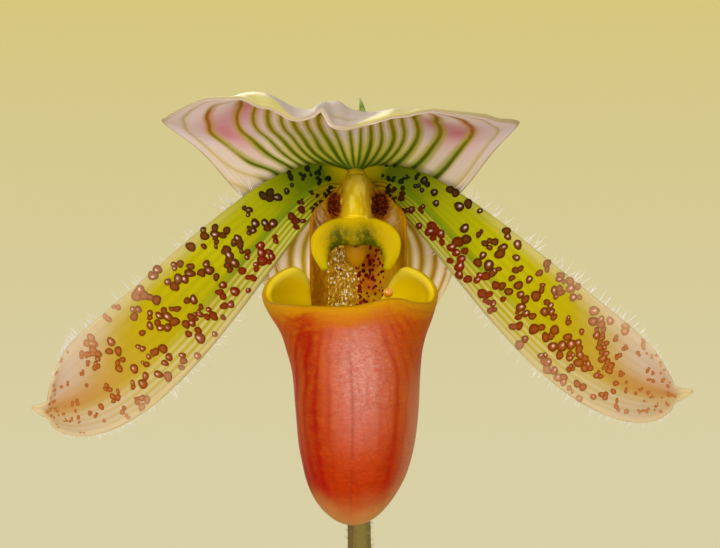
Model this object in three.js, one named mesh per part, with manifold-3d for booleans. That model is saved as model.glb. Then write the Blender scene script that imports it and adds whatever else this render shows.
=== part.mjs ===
// A potted lady slipper orchid: one bloom on an upright stem, a fan of strap leaves and a clay pot of bark.
// Units are millimetres, +Z is up, and the origin is the centre of the pot's underside.
import * as THREE from "three";
import { mergeVertices } from "three/addons/utils/BufferGeometryUtils.js";
import { LoftGeometry } from "three/addons/geometries/LoftGeometry.js";
import Module from "manifold-3d";

const wasm = await Module();
wasm.setup();

// Driving dimensions.
const clearance = 0.3;
const pot = {
  height: 100,
  topRadius: 58,
  footRadius: 38,
  wall: 5,
  floor: 6,
  bandHeight: 23,
  bandStep: 3.2,
};
const drain = { holes: 4, radius: 5, ring: 19 };
const bark = { level: 84, chips: 36, chipLength: 14.5, chipWidth: 9, chipThickness: 4.4, seed: 5 };
const crown = { x: 0, y: 4, low: 70, top: 106, radiusX: 9, radiusY: 7 };
const stem = { footRadius: 2.5, topRadius: 1.9, foot: 97, top: 262 };
const hub = { x: 0, y: -18, z: 300 };
const sepal = { reach: 42.5, leftWidth: 30.6, rightWidth: 25.6, thickness: 0.8 };
const petal = { thickness: 0.9, upperBase: 1.5, lowerBase: 2.6, tipShare: 0.955 };
const slipper = { toe: -56.1, frontRim: -22.2, earTop: -16.1, wall: 0.8, roll: 0.7, cap: 8.6 };

const paint = {
  pot: { color: 0xb4623c, roughness: 0.9 },
  bark: { color: 0x6b4428, roughness: 0.95 },
  crown: { color: 0x8a9a4a, roughness: 0.7 },
  leaf: { color: 0x4c7a35, roughness: 0.45 },
  stem: { color: 0x6f7a3a, roughness: 0.7 },
  ovary: { color: 0x76803c, roughness: 0.7 },
  hood: { color: 0xd8bdb4, roughness: 0.6 },
  petal: { color: 0xa8a83a, roughness: 0.55 },
  slipper: { color: 0xc0503c, roughness: 0.4 },
  column: { color: 0xc8b020, roughness: 0.4 },
};

// Small curve helpers.
const clamp01 = (x) => Math.min(1, Math.max(0, x));
const mix = (a, b, t) => a + (b - a) * t;
const bump = (x, centre, spread) => Math.exp(-(((x - centre) / spread) ** 2));
const radians = THREE.MathUtils.degToRad;

function smooth(from, to, x) {
  const t = clamp01((x - from) / (to - from));
  return t * t * (3 - 2 * t);
}

// The value at x of the smooth curve through the points [x, value], ends held level.
function through(points, x) {
  const last = points.length - 1;
  if (x <= points[0][0]) return points[0][1];
  if (x >= points[last][0]) return points[last][1];
  const i = points.findIndex((p, k) => k < last && x < points[k + 1][0]);
  const slope = (k) => {
    const a = points[Math.max(0, k - 1)];
    const b = points[Math.min(last, k + 1)];
    return (b[1] - a[1]) / (b[0] - a[0]);
  };
  const h = points[i + 1][0] - points[i][0];
  const t = (x - points[i][0]) / h;
  const start = points[i][1] * (2 * t ** 3 - 3 * t * t + 1) + slope(i) * h * (t ** 3 - 2 * t * t + t);
  return start + points[i + 1][1] * (3 * t * t - 2 * t ** 3) + slope(i + 1) * h * (t ** 3 - t * t);
}

function seededRandom(seed) {
  let state = seed * 2654435761;
  return () => {
    state = (Math.imul(state, 1664525) + 1013904223) >>> 0;
    return state / 4294967296;
  };
}

function curveOf(...points) {
  return new THREE.CubicBezierCurve3(...points.map((p) => new THREE.Vector3(...p)));
}

// A closed geometry as a solid that can be cut and joined.
function solidOf(geometry) {
  const bare = new THREE.BufferGeometry().setAttribute("position", geometry.getAttribute("position"));
  if (geometry.index) bare.setIndex(geometry.index);
  const merged = mergeVertices(bare, 1e-4);
  return new wasm.Manifold(
    new wasm.Mesh({
      numProp: 3,
      vertProperties: new Float32Array(merged.attributes.position.array),
      triVerts: new Uint32Array(merged.index.array),
    }),
  );
}

function joined(...solids) {
  return wasm.Manifold.union(solids);
}

// What is left of a solid after each cutter, without the loose scraps.
function cutBy(solid, ...cutters) {
  const rest = cutters.reduce((left, cutter) => left.subtract(cutter), solid);
  return rest.decompose().sort((a, b) => b.volume() - a.volume())[0];
}

function nodeOf(name, solid, finish) {
  const mesh = solid.getMesh();
  const geometry = new THREE.BufferGeometry();
  geometry.setAttribute("position", new THREE.BufferAttribute(new Float32Array(mesh.vertProperties), 3));
  geometry.setIndex(new THREE.BufferAttribute(new Uint32Array(mesh.triVerts), 1));
  geometry.computeVertexNormals();
  const node = new THREE.Mesh(geometry, new THREE.MeshStandardMaterial(finish));
  node.name = name;
  return node;
}

// Point, side and forward directions and normal of a sheet at (u, v), by small differences.
function frameAt(sheet, u, v, uRange, vRange) {
  const step = 1e-3;
  const between = (low, high, at) => [Math.max(low, at - step), Math.min(high, at + step)];
  const [u0, u1] = uRange ? between(...uRange, u) : [u - step, u + step];
  const [v0, v1] = between(...vRange, v);
  const side = sheet(u1, v).sub(sheet(u0, v)).normalize();
  const forward = sheet(u, v1).sub(sheet(u, v0)).normalize();
  return { point: sheet(u, v), side, forward, normal: side.clone().cross(forward).normalize() };
}

function indexedSolid(points, faces) {
  const geometry = new THREE.BufferGeometry().setFromPoints(points);
  geometry.setIndex(faces.flat());
  return solidOf(geometry);
}

// A thin blade: the sheet P(u, v), u from -1 to 1 across and v from 0 to 1 along, with half its thickness on
// each side. Both faces are split into the same triangles. grow swells it all round, to cut a neighbour.
function blade(sheet, { across, along, thick, grow = 0, alongAt = (s) => s }) {
  const columns = across + 1;
  const rows = along + 1;
  const top = [];
  const bottom = [];
  for (let j = 0; j < rows; j += 1) {
    for (let i = 0; i < columns; i += 1) {
      const u = (2 * i) / across - 1;
      const v = alongAt(j / along);
      const { point, side, forward, normal } = frameAt(sheet, u, v, [-1, 1], [0, 1]);
      point.addScaledVector(side, grow * ((i === across) - (i === 0)));
      point.addScaledVector(forward, grow * ((j === along) - (j === 0)));
      const half = thick(u, v) / 2 + grow;
      top.push(point.clone().addScaledVector(normal, half));
      bottom.push(point.clone().addScaledVector(normal, -half));
    }
  }
  const under = columns * rows;
  const faces = [];
  for (let j = 0; j < along; j += 1) {
    for (let i = 0; i < across; i += 1) {
      const a = j * columns + i;
      const [b, c, d] = [a + 1, a + columns + 1, a + columns];
      faces.push([a, b, c], [a, c, d]);
      faces.push([under + a, under + c, under + b], [under + a, under + d, under + c]);
    }
  }
  for (let i = 0; i < across; i += 1) {
    const [a, b] = [i, i + 1];
    const [c, d] = [along * columns + i, along * columns + i + 1];
    faces.push([under + a, under + b, b], [under + a, b, a], [under + c, d, under + d], [under + c, c, d]);
  }
  for (let j = 0; j < along; j += 1) {
    const [a, d] = [j * columns, (j + 1) * columns];
    const [b, c] = [a + across, d + across];
    faces.push([under + a, a, d], [under + a, d, under + d], [under + b, c, b], [under + b, under + c, c]);
  }
  return indexedSolid([...top, ...bottom], faces);
}

// A thin cup: the sheet P(angle, t) runs round from the front, and up from the toe at t = 0 to the rim.
function cup(sheet, { around, up, thick, grow = 0 }) {
  const outer = [];
  const inner = [];
  const down = new THREE.Vector3(0, 0, -1);
  const toe = sheet(0, 0);
  outer.push(toe.clone().addScaledVector(down, thick(0, 0) / 2 + grow));
  inner.push(toe.clone().addScaledVector(down, -thick(0, 0) / 2 - grow));
  for (let j = 1; j <= up; j += 1) {
    for (let i = 0; i < around; i += 1) {
      const angle = (360 * i) / around;
      const { point, forward, normal } = frameAt(sheet, angle, j / up, null, [0, 1]);
      point.addScaledVector(forward, j === up ? grow : 0);
      const half = thick(angle, j / up) / 2 + grow;
      outer.push(point.clone().addScaledVector(normal, half));
      inner.push(point.clone().addScaledVector(normal, -half));
    }
  }
  const under = outer.length;
  const faces = [];
  for (let i = 0; i < around; i += 1) {
    const next = (i + 1) % around;
    faces.push([0, 1 + next, 1 + i], [under, under + 1 + i, under + 1 + next]);
    for (let j = 0; j < up - 1; j += 1) {
      const [a, b] = [1 + j * around + i, 1 + j * around + next];
      const [c, d] = [b + around, a + around];
      faces.push([a, b, c], [a, c, d]);
      faces.push([under + a, under + c, under + b], [under + a, under + d, under + c]);
    }
    const [e, f] = [1 + (up - 1) * around + i, 1 + (up - 1) * around + next];
    faces.push([under + e, f, under + f], [under + e, e, f]);
  }
  return indexedSolid([...outer, ...inner], faces);
}

// A round or ribbed stalk along a curve. radiusAt(t) gives its radius, ribs its count of ribs.
function stalk(curve, { sides, steps, radiusAt, ribs = 0, ribDepth = 0 }) {
  const frames = curve.computeFrenetFrames(steps, false);
  const sections = [];
  for (let k = 0; k <= steps; k += 1) {
    const centre = curve.getPointAt(k / steps);
    const ring = [];
    for (let i = 0; i < sides; i += 1) {
      const angle = (2 * Math.PI * i) / sides;
      const radius = radiusAt(k / steps) * (1 + ribDepth * Math.cos(ribs * angle));
      const point = centre.clone().addScaledVector(frames.normals[k], Math.cos(angle) * radius);
      ring.push(point.addScaledVector(frames.binormals[k], Math.sin(angle) * radius));
    }
    sections.push(ring);
  }
  return solidOf(new LoftGeometry(sections, { capStart: true, capEnd: true }));
}

function ball([x, y, z], [rx, ry, rz], detail = 1) {
  const sphere = new THREE.IcosahedronGeometry(1, detail);
  sphere.scale(rx, ry, rz);
  sphere.translate(x, y, z);
  return solidOf(sphere);
}

function turned(profile, segments) {
  const lathe = new THREE.LatheGeometry(profile.map(([r, z]) => new THREE.Vector2(r, z)), segments);
  lathe.rotateX(Math.PI / 2);
  return solidOf(lathe);
}

// The clay pot: a tapered wall under an upright rim band, rounded at the lip, with holes in its floor.
const bandRadius = pot.topRadius - pot.bandStep;
const outerRadius = (z) => mix(pot.footRadius, bandRadius, z / (pot.height - pot.bandHeight));
const innerRadius = (z) => Math.min(outerRadius(z), bandRadius) - pot.wall + 1;

function makePot() {
  const shoulder = pot.height - pot.bandHeight;
  const lipInside = innerRadius(pot.height);
  const shell = turned(
    [
      [0, 0],
      [pot.footRadius - 2, 0],
      [pot.footRadius, 2],
      [outerRadius(shoulder) - 0.4, shoulder - 1],
      [pot.topRadius - 1.2, shoulder],
      [pot.topRadius, shoulder + 1.5],
      [pot.topRadius + 0.6, pot.height - 2],
      [pot.topRadius - 0.6, pot.height - 0.3],
      [pot.topRadius - 2.4, pot.height],
      [lipInside + 0.8, pot.height - 0.8],
      [lipInside, pot.height - 3],
      [innerRadius(shoulder), shoulder],
      [innerRadius(pot.floor), pot.floor],
      [0, pot.floor],
    ],
    40,
  );
  const holes = [];
  for (let k = 0; k < drain.holes; k += 1) {
    const angle = (2 * Math.PI * (k + 0.5)) / drain.holes;
    const hole = new THREE.CylinderGeometry(drain.radius, drain.radius, 4 * pot.floor, 12);
    hole.rotateX(Math.PI / 2);
    hole.translate(drain.ring * Math.cos(angle), drain.ring * Math.sin(angle), 0);
    holes.push(solidOf(hole));
  }
  return cutBy(shell, ...holes);
}

// One bark chip: a six-sided block with uneven corners.
function barkChip(random, x, y, z) {
  const chip = new THREE.BoxGeometry(
    bark.chipLength * mix(0.7, 1.35, random()),
    bark.chipWidth * mix(0.7, 1.3, random()),
    bark.chipThickness * mix(0.7, 1.4, random()),
  );
  const corners = mergeVertices(new THREE.BufferGeometry()
    .setAttribute("position", chip.getAttribute("position")).setIndex(chip.index), 1e-4);
  const places = corners.attributes.position;
  for (let k = 0; k < places.count; k += 1) {
    places.setXYZ(
      k,
      places.getX(k) * mix(0.75, 1.1, random()),
      places.getY(k) * mix(0.75, 1.1, random()),
      places.getZ(k) * mix(0.8, 1.1, random()),
    );
  }
  const tilt = [mix(-0.45, 0.45, random()), mix(-0.4, 0.4, random())];
  const turn = new THREE.Euler(...tilt, 2 * Math.PI * random());
  corners.applyMatrix4(new THREE.Matrix4().makeRotationFromEuler(turn));
  corners.translate(x, y, z);
  return solidOf(corners);
}

// The bark mix: one body that fills the pot, with chips in sunflower order lying in its top.
function makeBark() {
  const low = pot.floor + clearance;
  const edge = (z) => innerRadius(z) - clearance - 0.1;
  const body = turned(
    [
      [0, low],
      [edge(low) - 0.5, low],
      [edge(pot.height - pot.bandHeight), pot.height - pot.bandHeight],
      [edge(bark.level) - 0.5, bark.level - 1.5],
      [edge(bark.level) - 6, bark.level],
      [0, bark.level],
    ],
    30,
  );
  const random = seededRandom(bark.seed);
  const goldenAngle = Math.PI * (3 - Math.sqrt(5));
  const reach = edge(bark.level) - 0.8 * bark.chipLength;
  const chips = [];
  for (let k = 0; k < bark.chips; k += 1) {
    const radius = reach * Math.sqrt((k + 3) / (bark.chips + 3));
    const angle = k * goldenAngle;
    const height = bark.level + mix(-0.4, 1.6, random());
    chips.push(barkChip(random, radius * Math.cos(angle), radius * Math.sin(angle), height));
  }
  return joined(body, ...chips);
}

// The crown: a short upright rootstock with fleshy roots that run out and down into the bark.
function makeCrown(grow = 0) {
  const roots = [];
  const count = 6;
  for (let k = 0; k < count; k += 1) {
    const angle = (2 * Math.PI * (k + 0.3 * Math.sin(5 * k))) / count;
    const away = (radius, z, turn = 0) => [
      crown.x + radius * Math.cos(angle + turn),
      crown.y + radius * Math.sin(angle + turn),
      z,
    ];
    const end = 26 + 4 * Math.cos(3 * k);
    const tip = away(end - 2, 24 + 3 * (k % 3), 0.7);
    const curve = curveOf(away(3, 76), away(16, 74), away(end, 62, 0.4), tip);
    roots.push(stalk(curve, {
      sides: 6,
      steps: 6,
      radiusAt: (t) => grow + (t > 0.99 ? 0.9 : 2.1 - 0.5 * t),
    }));
  }
  const middle = (crown.low + crown.top) / 2;
  const half = (crown.top - crown.low) / 2;
  const radii = [crown.radiusX + grow, crown.radiusY + grow, half + grow];
  const body = ball([crown.x, crown.y, middle], radii, 2);
  return joined(body, ...roots);
}

// A strap leaf: a folded blade that climbs from the crown, arches over and hangs at its pointed tip.
const leaves = [
  {
    name: "leaf_1",
    azimuth: 4, rise: 150, peak: 171, reach: 132,
    tip: 118, width: 19, foot: 84, out: 7,
  },
  {
    name: "leaf_2",
    azimuth: 183, rise: 148, peak: 164, reach: 128,
    tip: 108, width: 19.5, foot: 84, out: 7,
  },
  {
    name: "leaf_3",
    azimuth: -24, rise: 172, peak: 205, reach: 96,
    tip: 172, width: 18, foot: 92, out: 5.5,
  },
  {
    name: "leaf_4",
    azimuth: 158, rise: 170, peak: 198, reach: 104,
    tip: 160, width: 18.5, foot: 92, out: 5.5,
  },
  {
    name: "leaf_5",
    azimuth: 34, rise: 165, peak: 215, reach: 52,
    tip: 214, width: 14.5, foot: 99, out: 4,
  },
  {
    name: "leaf_6",
    azimuth: 212, rise: 160, peak: 205, reach: 44,
    tip: 203, width: 13, foot: 99, out: 4,
  },
];

function makeLeaf(leaf, grow = 0) {
  const azimuth = radians(leaf.azimuth);
  const at = (radius, z) => [
    crown.x + radius * Math.cos(azimuth),
    crown.y + radius * Math.sin(azimuth),
    z,
  ];
  const axis = curveOf(
    at(leaf.out, leaf.foot),
    at(leaf.out + 0.14 * leaf.reach, leaf.rise),
    at(0.62 * leaf.reach, leaf.peak + 12),
    at(leaf.reach, leaf.tip),
  );
  const across = new THREE.Vector3(-Math.sin(azimuth), Math.cos(azimuth), 0);
  const sheet = (u, v) => {
    const centre = axis.getPoint(v);
    const upward = axis.getTangent(v).cross(across).negate();
    const width = mix(6.5, leaf.width, smooth(0, 0.42, v)) * Math.sqrt(Math.max(0, 1 - v ** 7)) + 0.5;
    const fold = radians(mix(58, 14, smooth(0, 0.3, v)) - 32 * smooth(0.3, 0.6, v));
    const wave = 0.7 * Math.sin(9 * v + 2 * u) * Math.abs(u) * smooth(0.2, 0.6, v);
    centre.addScaledVector(across, u * width * Math.cos(fold));
    return centre.addScaledVector(upward, Math.abs(u) * width * Math.sin(fold) + wave);
  };
  const thick = (u, v) => mix(1.7, 0.8, Math.abs(u) ** 2) - 0.15 * v;
  return blade(sheet, { across: 6, along: 15, thick, grow });
}

// The flower stem, from a socket in the crown to the foot of the ovary.
function makeStem(grow = 0) {
  const curve = curveOf(
    [crown.x, crown.y, stem.foot - grow],
    [crown.x - 1.5, crown.y, mix(stem.foot, stem.top, 0.35)],
    [crown.x + 2, crown.y, mix(stem.foot, stem.top, 0.7)],
    [hub.x, crown.y, stem.top + grow],
  );
  return stalk(curve, {
    sides: 12,
    steps: 14,
    radiusAt: (t) => mix(stem.footRadius, stem.topRadius, t) + grow,
  });
}

// From here on, points are measured from the hub, where the bloom's parts meet. -Y is the side it faces.
const ovaryFoot = [0, crown.y - hub.y, stem.top - hub.z + clearance];
const ovaryCurve = curveOf(ovaryFoot, [0, 22.4, -18], [0, 13, -4], [0, 3, -2.2]);

function makeOvary(grow = 0) {
  const tube = stalk(ovaryCurve, {
    sides: 18,
    steps: 14,
    ribs: 6,
    ribDepth: 0.09,
    radiusAt: (t) => 1.95 + 0.95 * Math.sin(Math.PI * clamp01(t * 1.05)) ** 0.8 + 0.3 * t + grow,
  });
  return joined(tube, ball([0, 2.6, -2.4], [3.4 + grow, 2.7 + grow, 3 + grow], 2));
}

// The bract: a pointed half sheath round the back of the ovary's foot.
function makeBract(grow = 0) {
  const sheet = (u, v) => {
    const height = -43 + 27 * v;
    const spread = radians(105) * Math.sqrt(Math.max(0, 1 - v ** 2.2)) + 0.03;
    const radius = 2.75 + 2.2 * smooth(0, 0.5, v);
    const lean = -3.2 * smooth(0.35, 1, v);
    return new THREE.Vector3(
      radius * Math.sin(u * spread),
      ovaryFoot[1] + lean + radius * Math.cos(u * spread),
      height,
    );
  };
  return blade(sheet, { across: 8, along: 9, thick: () => 0.7, grow });
}

// The hood: the dorsal sepal rises from the hub and arches forward over the bloom. Its sides droop at the
// base, its far margin hangs down as a wavy edge, and a short point stands on its keel.
const hoodAxis = curveOf([0, 1.8, 0], [0, 1.8, 8.4], [0, -13, 10], [0, 1.5 - sepal.reach, 8.8]);

// How far the far part sinks, and how far the edge itself hangs, across x.
const hoodCrest = [
  [-31, 0], [-29, 0.5], [-24, 0.5], [-22, -0.1], [-20, -0.8], [-17.5, -0.35], [-14, -0.75], [-12, -1.4],
  [-10.2, -2.05], [-8.3, -2.2], [-6.5, -1.8], [-5.3, -0.6], [-4.2, -0.35], [-2.7, 0], [-1.5, -0.8],
  [-0.3, -1.25], [1.6, -1.5], [3, -1.55], [4.5, -1.2], [6, -0.9], [9.5, -0.9], [14, -1.25], [18, -1.25],
  [20.5, -1.1], [22.5, -1.25], [25, -0.6], [27, 0],
];
const hoodHang = [
  [-20, 0], [-17.5, -1.3], [-15, -2.5], [-12.5, -2.15], [-9.3, -1.95], [-6.8, -1.15], [-5, -1.45],
  [-3.7, -3.75], [-2.8, -4.3], [-1.8, -3.7], [0.8, -2.35], [2.8, -1.55], [5.2, -1.35], [7.5, -1.2],
  [10, -0.5], [12, 0],
];

function hoodSheet(u, v) {
  const point = hoodAxis.getPoint(v);
  const away = Math.abs(u);
  const broad = u < 0 ? sepal.leftWidth * (1 - 0.05 * bump(v, 0.2, 0.12)) : sepal.rightWidth;
  const width = broad * Math.sin(Math.PI * v ** 0.95) ** 0.75 + 3.5 * (1 - v) ** 3 + 0.35;
  const droop = (1.1 * away ** 2 + 6.8 * bump(v, 0.1, 0.12) * away ** 2.2) * smooth(0, 0.1, v);
  point.x += u * width;
  point.z -= droop * (1 - 0.9 * smooth(0.5, 0.85, v));
  point.z += 2.6 * bump(point.x, -15.5, 8) * smooth(0.35, 0.7, v);
  const start = mix(0.5, 0.12, smooth(8, 14, point.x));
  point.z += through(hoodCrest, point.x) * smooth(start, 0.76, v);
  point.z += (u < 0 ? 1.1 : 0.8) * smooth(0.8, 1, away) * bump(v, 0.42, 0.12);
  point.y -= 1.5 * away ** 2 * Math.sin(Math.PI * v);
  const fromSide = (1 - away) * width + 0.6;
  const fromTip = 47 * (1 - v) + 0.6;
  const nearEdge = bump(1 / Math.hypot(1 / fromSide, 1 / fromTip), 0, 4.2) * smooth(0.55, 0.75, v);
  const hang = through(hoodHang, point.x);
  point.z += nearEdge * hang;
  point.y += nearEdge * Math.abs(hang) * 0.2;
  return point;
}

function makeHood(grow = 0) {
  const thick = (u) => sepal.thickness - 0.15 * Math.abs(u);
  const alongAt = (s) => mix(s, Math.sin((Math.PI / 2) * s), 0.45);
  const sheet = blade(hoodSheet, { across: 22, along: 16, thick, grow, alongAt });
  const keelPoint = curveOf([1.1, -30.2, 7.2], [1, -30.3, 8.2], [0.85, -30.4, 9.1], [0.66, -30.5, 9.9]);
  const point = stalk(keelPoint, { sides: 6, steps: 3, radiusAt: (t) => grow + 0.65 - 0.5 * t });
  return joined(sheet, point);
}

// The synsepal: the two lower sepals grown together, hanging behind the slipper.
const synsepalAxis = curveOf([0, 2.4, -4], [0, 4.5, -11], [0, 9, -26], [0, 7, -45]);

function synsepalSheet(u, v) {
  const point = synsepalAxis.getPoint(v);
  const width = 15.4 * Math.sin(Math.PI * v ** 0.72) ** 1.5 + 2.5 * (1 - v) ** 3 + 0.4;
  point.x -= u * width;
  point.y += -2.2 * Math.abs(u) ** 2 * Math.sin(Math.PI * v) + 0.5 * Math.sin(11 * v) * Math.abs(u) ** 3;
  return point;
}

function makeSynsepal(grow = 0) {
  return blade(synsepalSheet, { across: 10, along: 12, thick: () => 0.8, grow });
}

// The petals: long blades that slope down to each side, blunt at the end, with a small point at the midrib.
const petals = {
  left: {
    axis: curveOf([-2.2, 0.6, -2.1], [-11.6, -6, 3.2], [-34.5, 0, -44.6], [-54.1, 5, -39.4]),
    upper: { width: 12, swell: 1.02, blunt: 7.3 },
    lower: { width: 7, swell: 1, blunt: 9.8 },
  },
  right: {
    axis: curveOf([2.2, 0.6, -1.8], [11.6, -6, 3.1], [34.2, 0, -42.8], [56.2, 5, -36.7]),
    upper: { width: 12, swell: 1.17, blunt: 4.7 },
    lower: { width: 6.4, swell: 1.19, blunt: 12.6 },
  },
};

function petalSheet(side, u, v) {
  const { axis, upper, lower } = petals[side];
  const towards = side === "left" ? -1 : 1;
  const point = axis.getPoint(v);
  const tangent = axis.getTangent(v);
  const acrossUp = new THREE.Vector3(-tangent.z, 0, tangent.x).normalize();
  acrossUp.multiplyScalar(Math.sign(tangent.x));
  const lift = u * towards;
  const half = lift > 0 ? upper : lower;
  const share = clamp01(v / petal.tipShare);
  const swell = Math.sin((Math.PI / 2) * share ** half.swell);
  const base = lift > 0 ? petal.upperBase : petal.lowerBase;
  const body = mix(base, half.width, swell) * Math.sqrt(Math.max(0, 1 - share ** half.blunt));
  const spike = 1.9 * clamp01((1 - v) / 0.07) ** 1.1 + 0.25;
  const width = Math.max(body, spike);
  point.addScaledVector(acrossUp, lift * width);
  const away = Math.abs(u);
  const fullness = Math.min(1, width / 5);
  point.y += fullness * (0.8 * (1 - away * away) - 2.2 * v ** 4 * away ** 1.3);
  point.y += 0.45 * Math.sin(26 * v + towards) * away ** 3 * smooth(0.1, 0.3, v) * fullness;
  return point;
}

function makePetal(side, grow = 0) {
  const thick = (u, v) => petal.thickness - 0.2 * Math.abs(u) * v;
  const alongAt = (s) => (s < 0.8 ? s * 1.125 : 0.9 + (s - 0.8) * 0.5);
  return blade((u, v) => petalSheet(side, u, v), { across: 8, along: 23, thick, grow, alongAt });
}

// The slipper: a deep pouch with a rolled rim, two raised ears at the back of its mouth, and a claw with
// in-rolled sides that climbs from the back wall to the hub.
const pouchWidth = [
  [-56.6, 6.1], [-50, 7.25], [-44, 8.65], [-38, 9.3], [-32, 9.75], [-27, 10.85], [-23, 12.4], [-20.5, 13.2],
];
const pouchDepth = [[-56.6, 5.8], [-50, 8.6], [-44, 10.9], [-38, 12], [-32, 12.7], [-23, 12.5]];
const rimHeight = [
  [0, slipper.frontRim],
  [75, slipper.frontRim + 0.7],
  [90, -20.3],
  [100, -18.6],
  [115, -16.9],
  [130, slipper.earTop],
  [142, -16.9],
  [151, -18.8],
  [160, -22],
  [180, -24],
];

function pouchAt(z) {
  const cap = Math.sqrt(Math.max(0, 1 - clamp01((slipper.toe + slipper.cap - z) / slipper.cap) ** 2));
  const lean = -0.9 * smooth(-29, -20.5, z) - 0.4 * smooth(-46, -54, z);
  return {
    centre: lean - 0.25 * bump(z, -28.5, 2.5) + 0.2 * bump(z, -39, 7),
    middle: -21.6 - 2 * smooth(-30, -56, z),
    width: through(pouchWidth, z) * cap,
    depth: through(pouchDepth, z) * cap,
  };
}

function pouchSheet(angle, t) {
  const fromFront = ((angle + 540) % 360) - 180;
  const rim = through(rimHeight, Math.abs(fromFront)) + 1.15 * bump(fromFront, 30, 20);
  const z = mix(slipper.toe, rim, t ** 1.7);
  const { centre, middle, width, depth } = pouchAt(z);
  const curl = 1 - 0.13 * clamp01((z + 20.5) / 4.4) ** 2;
  const turn = radians(angle);
  return new THREE.Vector3(
    centre + width * curl * Math.sin(turn),
    middle - depth * curl * Math.cos(turn),
    z,
  );
}

const clawAxis = curveOf([0.4, 0.9, -2.6], [0.4, -4.8, -6], [0.4, -8.6, -12], [0.4, -9.4, -29]);

function clawSheet(u, v) {
  const point = clawAxis.getPoint(v);
  const width = mix(3.6, 7.7, smooth(0, 0.42, v)) - 0.5 * smooth(0.7, 1, v);
  point.x -= u * width;
  const away = Math.abs(u);
  const rolled = -1.6 * away ** 2 * smooth(0, 0.3, v) - 2.4 * away ** 6 * smooth(0.15, 0.4, v);
  const { centre, middle, width: wide, depth } = pouchAt(point.z);
  const wall = middle + depth * Math.sqrt(Math.max(0, 1 - ((point.x - centre) / wide) ** 2)) - 0.4;
  point.y = mix(point.y + rolled, wall, smooth(-19.5, -23.5, point.z));
  return point;
}

function makeSlipper(grow = 0) {
  const pouch = cup(pouchSheet, {
    around: 32,
    up: 13,
    thick: (angle, t) => slipper.wall + slipper.roll * smooth(0.9, 1, t),
    grow,
  });
  const claw = blade(clawSheet, { across: 10, along: 11, thick: () => 0.9, grow });
  return joined(pouch, claw);
}

// The column: a short pillar from the hub to the crescent shield, with the stigma behind the shield's notch
// and an anther on each side.
const shield = { y: -16.6, low: -12.2, horn: 128 };

function shieldSheet(u, v) {
  const angle = radians(shield.horn) * u;
  const lobe = Math.cos(angle) > 0 ? 4.1 : 6.9;
  const taper = clamp01((Math.abs(u) - 0.8) / 0.2) ** 1.3;
  const outer = [
    Math.sign(u) * (7.15 * Math.abs(Math.sin(angle)) ** 0.85 - 0.95 * taper),
    shield.low + lobe * Math.cos(angle) - 0.3 * taper,
  ];
  const notch = -3.9 * Math.abs(u) ** 3.2 - 0.5 * bump(u, 0, 0.1);
  const inner = [4.6 * Math.sin((Math.PI / 2) * u), -12.5 + notch];
  const bulge = 0.6 * Math.sin(Math.PI * v) * (1 - 0.5 * Math.abs(u));
  return new THREE.Vector3(
    mix(outer[0], inner[0], v),
    shield.y - bulge + 1.6 * Math.abs(u) ** 2,
    mix(outer[1], inner[1], v),
  );
}

function makeColumn(grow = 0) {
  const pillar = stalk(curveOf([0.2, 0.6, -3.2], [0.2, -6, -2.2], [0.2, -12.5, -3.2], [0, -15.6, -9.2]), {
    sides: 12,
    steps: 8,
    radiusAt: (t) => 2.1 + 0.5 * bump(t, 0, 0.15) + 0.5 * bump(t, 1, 0.16) + grow,
  });
  const plate = blade(shieldSheet, {
    across: 18,
    along: 5,
    thick: (u, v) => 0.8 + 0.5 * Math.sin(Math.PI * v),
    grow,
  });
  const swell = (radii) => radii.map((r) => r + grow);
  const stigma = ball([0, -13.2, -11.8], swell([1.95, 1.3, 4.3]));
  const anthers = [-1, 1].map((s) => ball([1.5 * s, -9, -5.6], swell([1.1, 1.5, 1])));
  return joined(pillar, plate, stigma, ...anthers);
}

// The plant and pot, piece by piece. Each piece keeps a narrow gap to the ones it meets.
const plant = new THREE.Group();
const fatStem = makeStem(clearance);
const fatCrown = makeCrown(clearance);
const fatLeaves = leaves.map((leaf) => makeLeaf(leaf, clearance));

plant.add(nodeOf("pot", makePot(), paint.pot));
plant.add(nodeOf("potting_bark", cutBy(makeBark(), fatCrown, fatStem, ...fatLeaves), paint.bark));
plant.add(nodeOf("crown_roots", cutBy(makeCrown(), fatStem), paint.crown));
leaves.forEach((leaf, k) => {
  const inner = fatLeaves.slice(k + 1);
  plant.add(nodeOf(leaf.name, cutBy(makeLeaf(leaf), fatCrown, fatStem, ...inner), paint.leaf));
});
plant.add(nodeOf("flower_stem", makeStem(), paint.stem));

const bloom = new THREE.Group();
bloom.position.set(hub.x, hub.y, hub.z);
plant.add(bloom);

const fatOvary = makeOvary(clearance);
const fatColumn = makeColumn(clearance);
const fatSlipper = makeSlipper(clearance);
const fatPetals = [makePetal("left", clearance), makePetal("right", clearance)];
const stemAtBloom = fatStem.translate([-hub.x, -hub.y, -hub.z]);

bloom.add(nodeOf("ovary", makeOvary(), paint.ovary));
bloom.add(nodeOf("bract", cutBy(makeBract(), fatOvary, stemAtBloom), paint.ovary));
bloom.add(nodeOf("column", cutBy(makeColumn(), fatOvary), paint.column));
bloom.add(nodeOf("slipper_lip", cutBy(makeSlipper(), fatOvary, fatColumn), paint.slipper));
bloom.add(nodeOf("petal_left", cutBy(makePetal("left"), fatOvary, fatColumn, fatSlipper), paint.petal));
bloom.add(nodeOf("petal_right", cutBy(makePetal("right"), fatOvary, fatColumn, fatSlipper), paint.petal));
bloom.add(nodeOf("dorsal_sepal", cutBy(makeHood(), fatOvary, fatColumn, ...fatPetals), paint.hood));
bloom.add(nodeOf("synsepal", cutBy(makeSynsepal(), fatOvary, fatSlipper, ...fatPetals), paint.hood));

export default plant;
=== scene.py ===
import math

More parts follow.
